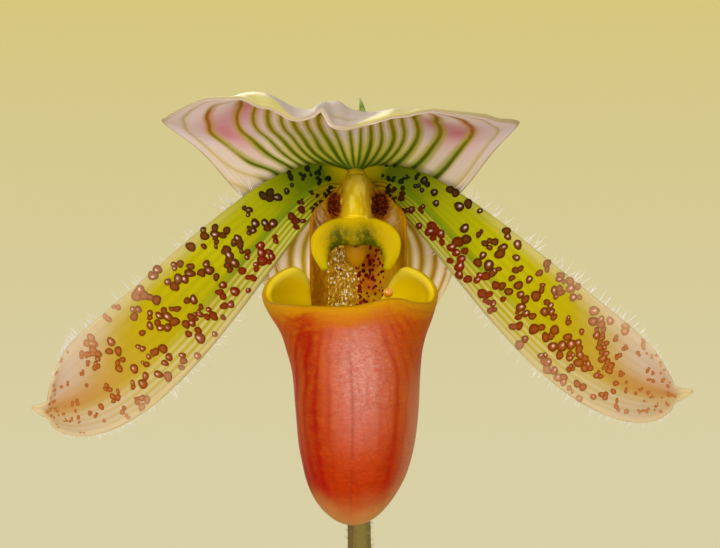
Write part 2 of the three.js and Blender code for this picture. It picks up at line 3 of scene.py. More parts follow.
import bpy
import numpy as np
from mathutils import Euler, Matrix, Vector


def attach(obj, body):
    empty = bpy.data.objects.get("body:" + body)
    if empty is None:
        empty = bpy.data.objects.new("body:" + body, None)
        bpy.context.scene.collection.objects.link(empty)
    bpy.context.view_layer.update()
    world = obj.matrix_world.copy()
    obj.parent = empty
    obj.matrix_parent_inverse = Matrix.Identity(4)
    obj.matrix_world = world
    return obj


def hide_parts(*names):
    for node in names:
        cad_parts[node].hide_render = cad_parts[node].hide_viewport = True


# A potted lady slipper orchid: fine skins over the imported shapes, painted by formulas. Lengths are in
# millimetres until a mesh is made. The bloom's points are measured from its hub, as in the part's source.
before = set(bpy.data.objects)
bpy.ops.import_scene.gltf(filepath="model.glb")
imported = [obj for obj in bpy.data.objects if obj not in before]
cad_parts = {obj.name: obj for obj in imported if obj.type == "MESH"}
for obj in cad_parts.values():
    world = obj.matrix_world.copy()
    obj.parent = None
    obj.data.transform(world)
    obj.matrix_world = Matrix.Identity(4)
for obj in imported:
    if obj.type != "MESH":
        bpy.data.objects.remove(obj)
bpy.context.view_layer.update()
hub = np.array([0.0, -18.0, 300.0])
table = np.zeros(3)  # where pieces that don't belong to the bloom are measured from
print("frame loaded")


# Number helpers, for plain numbers and arrays alike.
def clamp01(x):
    return np.clip(x, 0.0, 1.0)


def mix(a, b, t):
    return a + (b - a) * t


def bump(x, centre, spread):
    return np.exp(-(((x - centre) / spread) ** 2))


def smooth(low, high, x):
    t = clamp01((x - low) / (high - low))
    return t * t * (3 - 2 * t)


def stack(x, y, z):
    return np.stack(np.broadcast_arrays(x, y, z), -1)


def lengthOf(vectors):
    return np.sqrt((vectors**2).sum(-1, keepdims=True))


def unit(vectors):
    return vectors / np.maximum(lengthOf(vectors), 1e-9)


# The smooth curve through [x, value] points, held level past its ends.
def through(points, x):
    px, py = np.array(points, float).T
    x = np.clip(x, px[0], px[-1])
    i = np.clip(np.searchsorted(px, x, side="right") - 1, 0, len(px) - 2)
    order = np.arange(len(px))
    before, after = np.maximum(order - 1, 0), np.minimum(order + 1, len(px) - 1)
    slope = (py[after] - py[before]) / (px[after] - px[before])
    h = px[i + 1] - px[i]
    t = (x - px[i]) / h
    start = py[i] * (2 * t**3 - 3 * t**2 + 1) + slope[i] * h * (t**3 - 2 * t**2 + t)
    return start + py[i + 1] * (3 * t**2 - 2 * t**3) + slope[i + 1] * h * (t**3 - t**2)


# A cubic Bezier curve: its points, and its unit tangents.
def curveAt(points, t):
    p = np.array(points, float)
    t = np.asarray(t, float)[..., None]
    s = 1 - t
    return s**3 * p[0] + 3 * s * s * t * p[1] + 3 * s * t * t * p[2] + t**3 * p[3]


def tangentAt(points, t):
    p = np.array(points, float)
    t = np.asarray(t, float)[..., None]
    s = 1 - t
    return unit(3 * s * s * (p[1] - p[0]) + 6 * s * t * (p[2] - p[1]) + 3 * t * t * (p[3] - p[2]))


# A value that wanders smoothly over space: a sum of crossed sines, about -1 to 1.
def wander(points, scale, shift=0.0):
    x, y, z = (points[..., k] / scale for k in range(3))
    one = np.sin(2.1 * x + 1.3 * y + shift) * np.sin(1.7 * z - 0.9 * x + 2 * shift)
    two = np.sin(3.7 * y - 2.3 * z + 3 * shift) * np.sin(4.1 * x + 2.9 * z + shift)
    return 0.65 * one + 0.35 * two


# Spaced numbers from low to high that crowd towards both ends.
def crowded(low, high, count, share=0.6):
    s = np.linspace(-1, 1, count)
    s = mix(s, np.sin(np.pi / 2 * s), share)
    return mix(low, high, (s + 1) / 2)


def normalsOf(points, wrap=False):
    if wrap:
        wide = np.concatenate([points[:, -1:], points, points[:, :1]], 1)
        side = np.gradient(wide, axis=1)[:, 1:-1]
    else:
        side = np.gradient(points, axis=1)
    forward = np.gradient(points, axis=0)
    return unit(np.cross(side, forward))


def linked(name, data):
    thing = bpy.data.objects.new(name, data)
    bpy.context.scene.collection.objects.link(thing)
    return thing


# Makes one piece of the object: its mesh in metres, the fields its material reads, its slot, which is not used,
# and the nodes that it replaces.
def piece(name, points, faces, fields, material, slot, nodes=(), offset=hub):
    counts = np.concatenate([np.full(len(f), f.shape[1]) for f in faces])
    corners = np.concatenate([f.ravel() for f in faces])
    mesh = bpy.data.meshes.new(name)
    mesh.vertices.add(len(points))
    mesh.vertices.foreach_set("co", ((points + offset) / 1000).ravel())
    mesh.loops.add(len(corners))
    mesh.loops.foreach_set("vertex_index", corners.astype(np.int32))
    mesh.polygons.add(len(counts))
    mesh.polygons.foreach_set("loop_start", (np.cumsum(counts) - counts).astype(np.int32))
    mesh.polygons.foreach_set("use_smooth", np.full(len(counts), True))
    mesh.update(calc_edges=True)
    for label, values in fields.items():
        layer = mesh.attributes.new(label, "FLOAT_VECTOR", "POINT")
        layer.data.foreach_set("vector", values.astype(np.float32).ravel())
    thing = linked(name, mesh)
    mesh.materials.append(material)
    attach(thing, "root")
    if nodes:
        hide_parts(*nodes)
    return thing


# The quads of a grid of vertex numbers, facing side x forward, or the other way.
def quadsOf(index, turned=False):
    a, b, c, d = index[:-1, :-1], index[:-1, 1:], index[1:, 1:], index[1:, :-1]
    corners = (a, d, c, b) if turned else (a, b, c, d)
    return np.stack([k.ravel() for k in corners], -1)


# A grid of vertex numbers whose last column comes round to its first.
def ringIndex(rows, sides):
    index = np.arange(rows * sides).reshape(rows, sides)
    return np.concatenate([index, index[:, :1]], 1)


# Triangles from a ring of vertex numbers to one more vertex, facing one way or, turned, the other.
def fan(ring, apex, turned=False):
    first, second = (ring[1:], ring[:-1]) if turned else (ring[:-1], ring[1:])
    return np.stack([first, second, np.full(len(first), apex)], -1)


# Rings of points closed by two ends: vertices and faces.
def capped(rings, ends, turned=False):
    rows, sides = rings.shape[:2]
    index = ringIndex(rows, sides)
    caps = [fan(index[0], rows * sides, not turned), fan(index[-1], rows * sides + 1, turned)]
    return np.concatenate([rings.reshape(-1, 3), ends]), [quadsOf(index, turned), *caps]


# A sheet given a front and a back that meet all round its margin. A field with no third value gets the face
# there: 1 in front, -1 behind.
def pillow(points, half, fields):
    rows, columns = points.shape[:2]
    normal = normalsOf(points)
    inner = (slice(1, -1), slice(1, -1))
    edge = np.ones((rows, columns))
    edge[inner] = 0
    half = np.where(edge > 0, 0, half)[..., None]
    front = np.arange(rows * columns).reshape(rows, columns)
    back = front.copy()
    back[inner] = rows * columns + np.arange((rows - 2) * (columns - 2)).reshape(rows - 2, columns - 2)
    above, below = points + normal * half, (points - normal * half)[inner]
    vertices = np.concatenate([above.reshape(-1, 3), below.reshape(-1, 3)])
    made = {}
    for label, (first, second, third) in fields.items():
        upper = stack(first, second, 1 - edge if third is None else third)
        lower = stack(first, second, edge - 1 if third is None else third)
        made[label] = np.concatenate([upper.reshape(-1, 3), lower[inner].reshape(-1, 3)])
    return vertices, [quadsOf(front), quadsOf(back, True)], made


# How far a blade's half thickness has risen at this distance from its margin: a quarter circle of that radius.
def rounded(distance, radius):
    return np.sqrt(1 - (1 - clamp01(distance / radius)) ** 2)


# A round stalk along a curve, closed at both ends. radiusAt(t, angle) gives its radius.
def tube(points, radiusAt, sides, steps, normal=(1, 0, 0)):
    t = np.linspace(0, 1, steps)
    centre = curveAt(points, t)
    forward = tangentAt(points, t)
    side = unit(np.cross(forward, np.cross(np.array(normal, float), forward)))
    other = np.cross(forward, side)
    angle = np.linspace(0, 2 * np.pi, sides, endpoint=False)
    radius = radiusAt(t[:, None], angle[None, :])[..., None]
    turn = angle[None, :, None]
    rings = centre[:, None] + radius * (np.cos(turn) * side[:, None] + np.sin(turn) * other[:, None])
    share = np.concatenate([np.repeat(t, sides), [0, 1]])
    around = np.concatenate([np.tile(angle, steps), [0, 0]])
    fields = {"chart": stack(np.cos(around), share, np.sin(around))}
    return *capped(rings, centre[[0, -1]]), fields


# A ball with rings of latitude, squeezed to three radii.
def ball(centre, radii, sides=36, rings=18):
    polar = np.linspace(0, np.pi, rings + 1)[1:-1, None]
    angle = np.linspace(0, 2 * np.pi, sides, endpoint=False)[None, :]
    grid = stack(np.sin(polar) * np.cos(angle), np.sin(polar) * np.sin(angle), np.cos(polar) + 0 * angle)
    poles = np.array([[0, 0, 1.0], [0, 0, -1.0]])
    spots, faces = capped(grid, poles, True)
    return spots * np.array(radii) + np.array(centre), faces, {"chart": spots}


# Puts several (vertices, faces, fields) together as one mesh.
def together(*parts):
    shift, vertices, faces, fields = 0, [], [], {}
    for points, groups, named in parts:
        vertices.append(points)
        faces += [f + shift for f in groups]
        shift += len(points)
        for label, values in named.items():
            fields.setdefault(label, []).append(values)
    return np.concatenate(vertices), faces, {k: np.concatenate(v) for k, v in fields.items()}


# Hairs: three-sided spikes that start at roots, run along directions and bend by a share of their length.
def hairs(roots, directions, lengths, radius, bend):
    count = len(roots)
    rise = np.array([0, 0.3, 0.65])
    share = np.array([1, 0.8, 0.5])
    side = unit(np.cross(directions, np.array([0.31, 0.87, 0.39])))
    other = np.cross(directions, side)
    lengths = np.asarray(lengths)[:, None, None]
    angle = 2 * np.pi * np.arange(3) / 3
    path = roots[:, None] + lengths * (directions[:, None] * rise[:, None] + bend[:, None] * rise[:, None] ** 2)
    ring = np.cos(angle)[:, None] * side[:, None] + np.sin(angle)[:, None] * other[:, None]
    bodies = path[:, :, None] + radius * share[:, None, None] * ring[:, None]
    tips = roots + lengths[:, 0] * (directions + bend)
    vertices = np.concatenate([bodies.reshape(count, 9, 3), tips[:, None]], 1)
    base = 10 * np.arange(count)[:, None]
    around = [(i, (i + 1) % 3) for i in range(3)]
    walls = [base + np.array([[k + i, k + j, k + 3 + j, k + 3 + i]]) for k in (0, 3) for i, j in around]
    ends = [base + np.array([[6 + i, 6 + j, 9]]) for i, j in around]
    along = np.concatenate([np.repeat(rise, 3), [1]])
    fields = {"chart": stack(np.tile(along, count), np.repeat(np.arange(count) % 17 / 17, 10), 0)}
    ends.append(base + np.array([[2, 1, 0]]))
    return vertices.reshape(-1, 3), [np.concatenate(walls), np.concatenate(ends)], fields


# Low domes on a surface: centre, normal and long axis of each, its two radii and its height.
def domes(centres, normals, axes, long, short, height, seed, sides=14):
    count = len(centres)
    draw = np.random.default_rng(seed)
    axes = unit(axes - normals * (axes * normals).sum(-1, keepdims=True))
    cross = np.cross(normals, axes)
    reach = np.array([0.3, 0.58, 0.8, 0.94, 1.0])
    lift = np.sqrt(np.maximum(0, 1 - (reach * 0.97) ** 2.2))
    angle = 2 * np.pi * np.arange(sides) / sides
    phase = draw.uniform(0, 6.28, (count, 2))
    wobble = 1 + 0.1 * np.sin(2 * angle + phase[:, :1]) + 0.06 * np.sin(3 * angle + phase[:, 1:])
    x = (long[:, None, None] * reach[:, None] * (np.cos(angle) * wobble)[:, None])[..., None]
    y = (short[:, None, None] * reach[:, None] * (np.sin(angle) * wobble)[:, None])[..., None]
    z = (height[:, None] * lift)[:, :, None, None]
    flat = x * axes[:, None, None] + y * cross[:, None, None]
    rings = centres[:, None, None] + flat + z * normals[:, None, None]
    tops = centres + normals * height[:, None]
    feet = centres - normals * 0.12
    onRings = len(reach) * sides
    vertices = np.concatenate([rings.reshape(count, -1, 3), tops[:, None], feet[:, None]], 1)
    base = ((onRings + 2) * np.arange(count))[:, None, None]
    ring = ringIndex(len(reach), sides)
    one = (quadsOf(ring, True), fan(ring[0], onRings), fan(ring[-1], onRings + 1, True))
    faces = [(base + f).reshape(-1, f.shape[1]) for f in one]
    chart = np.stack([np.outer(reach, np.cos(angle)).ravel(), np.outer(reach, np.sin(angle)).ravel()], -1)
    chart = np.concatenate([chart, [[0, 0], [1.1, 0]]])
    return vertices.reshape(-1, 3), faces, np.tile(chart, (count, 1))


# A colour is given by its red, green and blue from 0 to 255.
def srgb(red, green, blue):
    channels = (c / 255 for c in (red, green, blue))
    return tuple(c / 12.92 if c <= 0.04045 else ((c + 0.055) / 1.055) ** 2.4 for c in channels) + (1.0,)


# Node trees. A Wire is one output socket, with arithmetic that adds Math nodes; feed gives a socket a wire, a
# colour or a number.
def feed(tree, socket, value):
    if isinstance(value, Wire):
        tree.links.new(value.socket, socket)
    else:
        socket.default_value = srgb(*value) if isinstance(value, tuple) else value


class Wire:
    def __init__(self, tree, socket):
        self.tree = tree
        self.socket = socket

    def math(self, kind, *others, first=None):
        node = self.tree.nodes.new("ShaderNodeMath")
        node.operation = kind
        for place, value in zip(node.inputs, [self if first is None else first, *others]):
            feed(self.tree, place, value)
        return Wire(self.tree, node.outputs[0])

    def __add__(self, other):
        return self.math("ADD", other)

    def __mul__(self, other):
        return self.math("MULTIPLY", other)

    def __sub__(self, other):
        return self.math("SUBTRACT", other)

    def __rsub__(self, other):
        return self.math("SUBTRACT", self, first=other)

    __radd__ = __add__
    __rmul__ = __mul__

    def __truediv__(self, other):
        return self.math("DIVIDE", other)

    def size(self):
        return self.math("ABSOLUTE")

    # Rises smoothly from 0 at low to 1 at high.
    def rise(self, low, high):
        node = self.tree.nodes.new("ShaderNodeMapRange")
        node.interpolation_type = "SMOOTHSTEP"
        feed(self.tree, node.inputs["Value"], self)
        feed(self.tree, node.inputs["From Min"], low)
        feed(self.tree, node.inputs["From Max"], high)
        return Wire(self.tree, node.outputs["Result"])

    # Falls off on both sides of centre as exp(-((x - centre) / spread)^2).
    def peak(self, centre, spread):
        scaled = (self - centre) / spread
        return (scaled * scaled * -1.0).math("EXPONENT")

    # One of the three numbers of a vector.
    def part(self, k):
        node = self.tree.nodes.new("ShaderNodeSeparateXYZ")
        feed(self.tree, node.inputs[0], self)
        return Wire(self.tree, node.outputs[k])


# The sum of several wires.
def total(wires):
    first, *others = wires
    for other in others:
        first = first + other
    return first


# A colour between first and second by share. Either can be a wire.
def blend(share, first, second):
    tree = share.tree
    node = tree.nodes.new("ShaderNodeMix")
    node.data_type = "RGBA"
    feed(tree, node.inputs["Factor"], share)
    feed(tree, [s for s in node.inputs if s.name == "A" and s.type == "RGBA"][0], first)
    feed(tree, [s for s in node.inputs if s.name == "B" and s.type == "RGBA"][0], second)
    return Wire(tree, [s for s in node.outputs if s.type == "RGBA"][0])


# A colour that runs through (place, colour) stops along a number.
def stops(wire, *pairs):
    node = wire.tree.nodes.new("ShaderNodeValToRGB")
    ramp = node.color_ramp
    while len(ramp.elements) < len(pairs):
        ramp.elements.new(0.5)
    for element, (place, colour) in zip(ramp.elements, pairs):
        element.position = place
        element.color = srgb(*colour)
    feed(wire.tree, node.inputs["Fac"], wire)
    return Wire(wire.tree, node.outputs["Color"])


# A vector with each number scaled.
def scaled(wire, x, y, z):
    node = wire.tree.nodes.new("ShaderNodeVectorMath")
    node.operation = "MULTIPLY"
    feed(wire.tree, node.inputs[0], wire)
    node.inputs[1].default_value = (x, y, z)
    return Wire(wire.tree, node.outputs[0])


def noise(wire, scale, detail=3.0, roughness=0.55):
    node = wire.tree.nodes.new("ShaderNodeTexNoise")
    feed(wire.tree, node.inputs["Vector"], wire)
    feed(wire.tree, node.inputs["Scale"], scale)
    feed(wire.tree, node.inputs["Detail"], detail)
    feed(wire.tree, node.inputs["Roughness"], roughness)
    return Wire(wire.tree, node.outputs["Fac"])


def cells(wire, scale, feature, random=1.0):
    node = wire.tree.nodes.new("ShaderNodeTexVoronoi")
    node.feature = feature
    feed(wire.tree, node.inputs["Vector"], wire)
    feed(wire.tree, node.inputs["Scale"], scale)
    feed(wire.tree, node.inputs["Randomness"], random)
    return Wire(wire.tree, node.outputs["Distance"])


# A shader node group. build(inputs) returns its output wires by name.
def groupOf(name, inputs, build):
    tree = bpy.data.node_groups.new(name, "ShaderNodeTree")
    for label, kind in inputs.items():
        tree.interface.new_socket(label, in_out="INPUT", socket_type=kind)
    source = tree.nodes.new("NodeGroupInput")
    made = build({label: Wire(tree, source.outputs[label]) for label in inputs})
    sink = tree.nodes.new("NodeGroupOutput")
    for label, wire in made.items():
        tree.interface.new_socket(label, in_out="OUTPUT", socket_type="NodeSocketFloat")
        tree.links.new(wire.socket, sink.inputs[label])
    return tree


def useGroup(group, output, **values):
    tree = next(v.tree for v in values.values() if isinstance(v, Wire))
    node = tree.nodes.new("ShaderNodeGroup")
    node.node_tree = group
    for label, value in values.items():
        feed(tree, node.inputs[label], value)
    return Wire(tree, node.outputs[output])


# Vein lines: index is a whole number on each vein, spacing the millimetres from one vein to the next.
def buildVein(given):
    fromVein = ((given["index"] + 0.5).math("FRACT") - 0.5).size() * given["spacing"]
    half, blur = given["width"] * 0.5, given["blur"]
    return {"mask": 1.0 - fromVein.rise(half - blur, half + blur)}


number, vector = "NodeSocketFloat", "NodeSocketVector"
veinGroup = groupOf("veinLines", dict.fromkeys(("index", "spacing", "width", "blur"), number), buildVein)


# A net of dark strands: the borders of stretched cells, torn by noise.
def buildNet(given):
    edges = cells(given["place"], given["scale"], "DISTANCE_TO_EDGE")
    torn = noise(given["place"], given["scale"] * 1.7, 2.0)
    return {"mask": (1.0 - edges.rise(0.02, given["width"])) * torn.rise(0.38, 0.58)}


netGroup = groupOf("strandNet", {"place": vector, "scale": number, "width": number}, buildNet)


# Skin relief: broad soft swells with finer grain on them.
def buildRelief(given):
    broad = noise(given["place"], given["scale"], 2.0, 0.5)
    fine = noise(given["place"], given["scale"] * 3.3, 3.0, 0.6)
    return {"height": broad * 0.65 + fine * 0.35}


reliefGroup = groupOf("skinRelief", {"place": vector, "scale": number}, buildRelief)


def vein(index, spacing, width, blur):
    return useGroup(veinGroup, "mask", index=index, spacing=spacing, width=width, blur=blur)


def net(place, scale, width):
    return useGroup(netGroup, "mask", place=place, scale=scale, width=width)


# A material with one Principled shader. settings are constants on its sockets.
class Paint:
    def __init__(self, name, **settings):
        self.material = bpy.data.materials.new(name)
        self.material.use_nodes = True
        self.tree = self.material.node_tree
        self.shader = next(n for n in self.tree.nodes if n.type == "BSDF_PRINCIPLED")
        for label, value in settings.items():
            self.shader.inputs[label.replace("_", " ")].default_value = value

    def field(self, label):
        node = self.tree.nodes.new("ShaderNodeAttribute")
        node.attribute_name = label
        wire = Wire(self.tree, node.outputs["Vector"])
        return wire.part(0), wire.part(1), wire.part(2)

    # Object coordinates in millimetres.
    def place(self, x=1000.0, y=1000.0, z=1000.0):
        node = self.tree.nodes.new("ShaderNodeTexCoord")
        return scaled(Wire(self.tree, node.outputs["Object"]), x, y, z)

    def colour(self, wire):
        feed(self.tree, self.shader.inputs["Base Color"], wire)

    def coat(self, wire):
        feed(self.tree, self.shader.inputs["Coat Weight"], wire)

    # Skin relief at this scale, on coordinates stretched by these numbers.
    def grain(self, scale, *stretch):
        return useGroup(reliefGroup, "height", place=self.place(*stretch), scale=scale)

    # Relief of this height in millimetres.
    def relief(self, wire, height):
        node = self.tree.nodes.new("ShaderNodeBump")
        node.inputs["Strength"].default_value = 1.0
        node.inputs["Distance"].default_value = height / 1000
        feed(self.tree, node.inputs["Height"], wire)
        self.tree.links.new(node.outputs["Normal"], self.shader.inputs["Normal"])


# Living tissue: hardly any gloss, and light that goes in a little way.
flesh = {
    "Specular_IOR_Level": 0.04,
    "Subsurface_Weight": 0.18,
    "Subsurface_Radius": (1.0, 0.6, 0.3),
    "Subsurface_Scale": 0.0011,
}


# A material that goes from one colour to another by the k-th number of its piece's chart, or by where that
# number stands between the two of span.
def twoTone(name, k, first, second, span=None, **settings):
    paint = Paint(name, **settings)
    along = paint.field("chart")[k]
    paint.colour(blend(along.rise(*span) if span else along, first, second))
    return paint.material


# The vein fields of a blade: a whole number on each vein, the spacing and the width there in millimetres.
def veinFields(u, places, widths, halfWidth):
    order = np.arange(len(places), dtype=float)
    index = np.interp(u, places, order)
    index = index + np.minimum(0, u - places[0]) * 8 + np.maximum(0, u - places[-1]) * 8
    gaps = np.gradient(np.array(places))
    return index, np.interp(u, places, gaps) * halfWidth, np.interp(u, places, widths)


# The hood (dorsal sepal). It rises from the hub and arches forward; u runs across and v towards its tip.
hood = {
    "axis": [[0, 1.8, 0], [0, 1.8, 8.4], [0, -13, 10], [0, -41, 8.8]],
    "left": 30.6,
    "right": 25.6,
    "length": 47,
    "thickness": 0.8,
    # Places across, from -1 to 1, and widths of the veins.
    "veins": [-0.905, -0.785, -0.6, -0.51, -0.435, -0.365, -0.305, -0.235, -0.175, -0.11, -0.03,
              0.036, 0.12, 0.203, 0.291, 0.358, 0.447, 0.588, 0.787, 0.94],
    "widths": [0.55, 0.8, 0.85, 0.55, 0.85, 0.6, 0.95, 0.6, 0.9, 0.55, 0.5,
               0.5, 0.9, 0.6, 0.9, 0.6, 0.9, 0.9, 0.85, 0.5],
    # How far the crest rises over x, and how far its margin hangs down.
    "crest": [[-31, 0], [-29, 0.5], [-24, 0.5], [-22, -0.1], [-20, -0.8], [-17.5, -0.35], [-14, -0.75],
              [-12, -1.4], [-10.2, -2.05], [-8.3, -2.2], [-6.5, -1.8], [-5.3, -0.6], [-4.2, -0.35], [-2.7, 0],
              [-1.5, -0.8], [-0.3, -1.25], [1.6, -1.5], [3, -1.55], [4.5, -1.2], [6, -0.9], [9.5, -0.9],
              [14, -1.25], [18, -1.25], [20.5, -1.1], [22.5, -1.25], [25, -0.6], [27, 0]],
    "hang": [[-20, 0], [-17.5, -1.3], [-15, -2.5], [-12.5, -2.15], [-9.3, -1.95], [-6.8, -1.15], [-5, -1.45],
             [-3.7, -3.75], [-2.8, -4.3], [-1.8, -3.7], [0.8, -2.35], [2.8, -1.55], [5.2, -1.35], [7.5, -1.2],
             [10, -0.5], [12, 0]],
    # Pink blushes: place across and its spread, place along and its spread, strength.
    "blush": [(-0.57, 0.1, 0.62, 0.16, 1.0), (-0.71, 0.1, 0.38, 0.15, 0.75), (0.645, 0.12, 0.42, 0.15, 0.8),
              (0.49, 0.09, 0.58, 0.14, 0.75), (0.82, 0.1, 0.28, 0.1, 0.15)],
    # The small green point under its tip: a curve, and its radius at the foot.
    "point": [[1.1, -30.2, 7.2], [1, -30.3, 8.2], [0.85, -30.4, 9.1], [0.66, -30.5, 9.9]],
    "pointRadius": 0.62,
}


# P = axis(v) + u * width(v) along x, drooping at the base's sides and raised at the left. Its far part sinks by
# the crest's curve over x, and within 4 mm of its margin it hangs by another.
def hoodSheet(u, v):
    centre = curveAt(hood["axis"], v)
    away = np.abs(u)
    broad = np.where(u < 0, hood["left"] * (1 - 0.05 * bump(v, 0.2, 0.12)), hood["right"])
    width = broad * np.sin(np.pi * v**0.95) ** 0.75 + 3.5 * (1 - v) ** 3 + 0.35
    droop = (1.1 * away**2 + 6.8 * bump(v, 0.1, 0.12) * away**2.2) * smooth(0, 0.1, v)
    x = centre[..., 0] + u * width
    raised = 2.6 * bump(x, -15.5, 8) * smooth(0.35, 0.7, v)
    z = centre[..., 2] - droop * (1 - 0.9 * smooth(0.5, 0.85, v)) + raised
    start = mix(0.5, 0.12, smooth(8, 14, x))
    z = z + through(hood["crest"], x) * smooth(start, 0.76, v)
    z = z + np.where(u < 0, 1.1, 0.8) * smooth(0.8, 1, away) * bump(v, 0.42, 0.12)
    y = centre[..., 1] - 1.5 * away**2 * np.sin(np.pi * v)
    fromSide = (1 - away) * width + 0.6
    fromTip = hood["length"] * (1 - v) + 0.6
    near = bump(1 / np.hypot(1 / fromSide, 1 / fromTip), 0, 4.2) * smooth(0.55, 0.75, v)
    hang = through(hood["hang"], x)
    return stack(x, y + near * np.abs(hang) * 0.2, z + near * hang), width


def paintHood():
    paint = Paint("hoodPaint", Roughness=0.5, Coat_Roughness=0.3, **flesh)
    u, v, face = paint.field("chart")
    index, spacing, width = paint.field("veins")
    away = u.size()
    soft = noise(paint.place(), 0.16, 2.0)
    blush = total(u.peak(across, wide) * v.peak(along, long) * strength
                  for across, wide, along, long, strength in hood["blush"])
    ground = stops(v, (0.1, (180, 168, 148)), (0.3, (188, 174, 178)), (0.5, (206, 186, 200)),
                   (0.8, (228, 212, 228)))
    ground = blend(soft * 0.3, ground, (206, 184, 192))
    ground = blend((blush * (soft * 0.9 + 0.55)).math("MINIMUM", 1.0), ground, (184, 92, 112))
    tinted = 1.0 - away.rise(0.35, 0.75) * 0.8
    ground = blend((1.0 - v.rise(0.1, 0.36)) * tinted * 0.8, ground, (186, 168, 50))
    ground = blend((1.0 - v.rise(0.02, 0.13)) * tinted, ground, (116, 120, 0))
    aged = v.rise(0.08, 0.5) * 0.5 + away.rise(0.45, 0.72) * v.rise(0.22, 0.5) * 0.5
    core = stops(aged, (0.0, (52, 72, 0)), (0.25, (98, 100, 0)), (0.5, (124, 108, 0)), (1.0, (146, 86, 16)))
    halo = stops(aged, (0.0, (128, 130, 0)), (0.5, (170, 150, 20)), (1.0, (184, 134, 84)))
    faint = away.rise(0.79, 0.84)
    core = blend(faint, core, (156, 138, 60))
    halo = blend(faint, halo, (184, 164, 110))
    kept = (1.0 - v.rise(0.7, 0.9) * 0.6) * (1.0 - faint * 0.45)
    ragged = (noise(paint.place(), 0.9, 2.0) - 0.5) * 0.5
    inner = blend(vein(index, spacing, width * 2.2 + ragged, 0.4) * kept * 0.8, ground, halo)
    inner = blend(vein(index, spacing, width * 0.8 + ragged * 0.6, 0.22) * kept, inner, core)
    lines = vein(u * 34.0, 0.8, 0.16, 0.14) * away.rise(0.86, 0.9) * (1.0 - v.rise(0.2, 0.34))
    inner = blend(lines * 0.5, inner, (168, 152, 84))
    # The hanging edge outside: pinkish, with a yellow band that widens away from its middle on each side,
    # partly the skin's own colour and partly painted light falling on this upward-facing edge.
    x, rim = paint.field("rim")[:2]
    band = (x * 0.9 - rim).rise(-0.6, 0.5) + (x * -1.0 - 9.0 - rim).rise(-0.6, 0.5)
    band = band.math("MINIMUM", 1.0)
    outside = blend(soft, (182, 164, 152), (170, 150, 136))
    # A painted shade along the fold where the hood's tip turns down.
    outside = blend(rim.peak(2.1, 0.3) * x.peak(-2.0, 3.0) * 0.5, outside, (140, 128, 70))
    outside = blend(band * (1.0 - (rim + (soft - 0.5) * 6.0).rise(2.5, 9.0)), outside, (192, 178, 96))
    shown = 0.4 - v.rise(0.55, 0.75) * 0.28
    outside = blend(vein(index, spacing, width * 0.9, 0.4) * shown, outside, (130, 126, 60))
    outside = blend(u.peak(0.005, 0.02) * (1.0 - v.rise(0.7, 0.78)) * 0.7, outside, (108, 118, 26))
    paint.coat(band * (face * -0.5 + 0.5) * v.rise(0.6, 0.75) * 0.3)
    colour = blend(face * 0.5 + 0.5, outside, inner)
    margin = away.rise(0.975, 1.0).math("MAXIMUM", v.rise(0.985, 1.0))
    paint.colour(blend(margin * 0.8, colour, (156, 140, 104)))
    grain = paint.grain(0.9, 700.0, 1500.0, 1500.0)
    paint.relief(grain + vein(index, spacing, width, 0.3) * -0.25, 0.12)
    return paint.material


def makeHood():
    u, v = np.meshgrid(crowded(-1, 1, 181), mix(np.linspace(0, 1, 141), crowded(0, 1, 141), 0.5))
    points, width = hoodSheet(u, v)
    edge = np.minimum((1 - np.abs(u)) * width, hood["length"] * (1 - v))
    half = (hood["thickness"] - 0.15 * np.abs(u)) / 2 * rounded(edge, 0.5)
    # Past the middle the veins run on straight to the far margin, so there they go by x, not by u.
    straight = width / hoodSheet(u, np.minimum(v, 0.6))[1]
    across = u * mix(straight, 1, 0.8 * smooth(0.55, 0.95, np.abs(u)) + 0.2 * smooth(0.9, 1, np.abs(u)))
    across = across + np.where(u < 0, 0.02, 0.075) * smooth(0.15, 0.5, v) * np.minimum(1, np.abs(u) / 0.2)
    outer = np.where(u < 0, smooth(0.55, 0.75, np.abs(u)), 0)
    across = across + outer * (0.03 * bump(v, 0.24, 0.07) - 0.045 * bump(v, 0.47, 0.1))
    # Low on the left the outer veins run flatter, and the middle ones keep nearer to the margin.
    side, away = np.where(u < 0, 1.0, 0.0), np.abs(u)
    middle = smooth(0.15, 0.3, away) * (1 - smooth(0.58, 0.75, away)) * side
    across = across - 0.091 * bump(v, 0.135, 0.044) * smooth(0.436, 0.786, away) * side
    across = across + 0.035 * bump(v, 0.182, 0.095) * middle
    veins = veinFields(across, hood["veins"], hood["widths"], width)
    material = paintHood()
    fromSide, fromTip = (1 - np.abs(u)) * width + 0.01, hood["length"] * (1 - v) + 0.01
    rim = 1 / np.hypot(1 / fromSide, 1 / fromTip)
    fields = {"chart": (u, v, None), "veins": veins, "rim": (points[..., 0], rim, 0)}
    piece("hoodSkin", *pillow(points, half, fields), material, "hood", ["dorsal_sepal"])
    spike = tube(hood["point"], lambda t, a: hood["pointRadius"] - 0.52 * t + 0 * a, 12, 10)
    keel = Paint("keelPaint", Roughness=0.5, **flesh)
    along = keel.field("chart")[1]
    keel.colour(stops(along, (0.2, (150, 156, 84)), (0.5, (96, 122, 40)), (1.0, (150, 160, 110))))
    piece("hoodPoint", *spike, keel.material, "hood")


makeHood()
print("hood made")


# The synsepal hangs behind the slipper: P = axis(v) + u * width(v) along x, its sides curling forward.
synsepal = {
    "length": 42,
    "thickness": 0.8,
    "axis": [[0, 2.4, -4], [0, 4.5, -11], [0, 9, -26], [0, 7, -45]],
    "veins": [-0.93, -0.82, -0.67, -0.54, -0.4, -0.27, -0.13, 0, 0.13, 0.27, 0.4, 0.55, 0.67, 0.81, 0.93],
    "widths": [0.3, 0.45, 0.7, 0.5, 0.8, 0.5, 0.8, 0.6, 0.8, 0.5, 0.8, 0.7, 0.55, 0.6, 0.3],
}


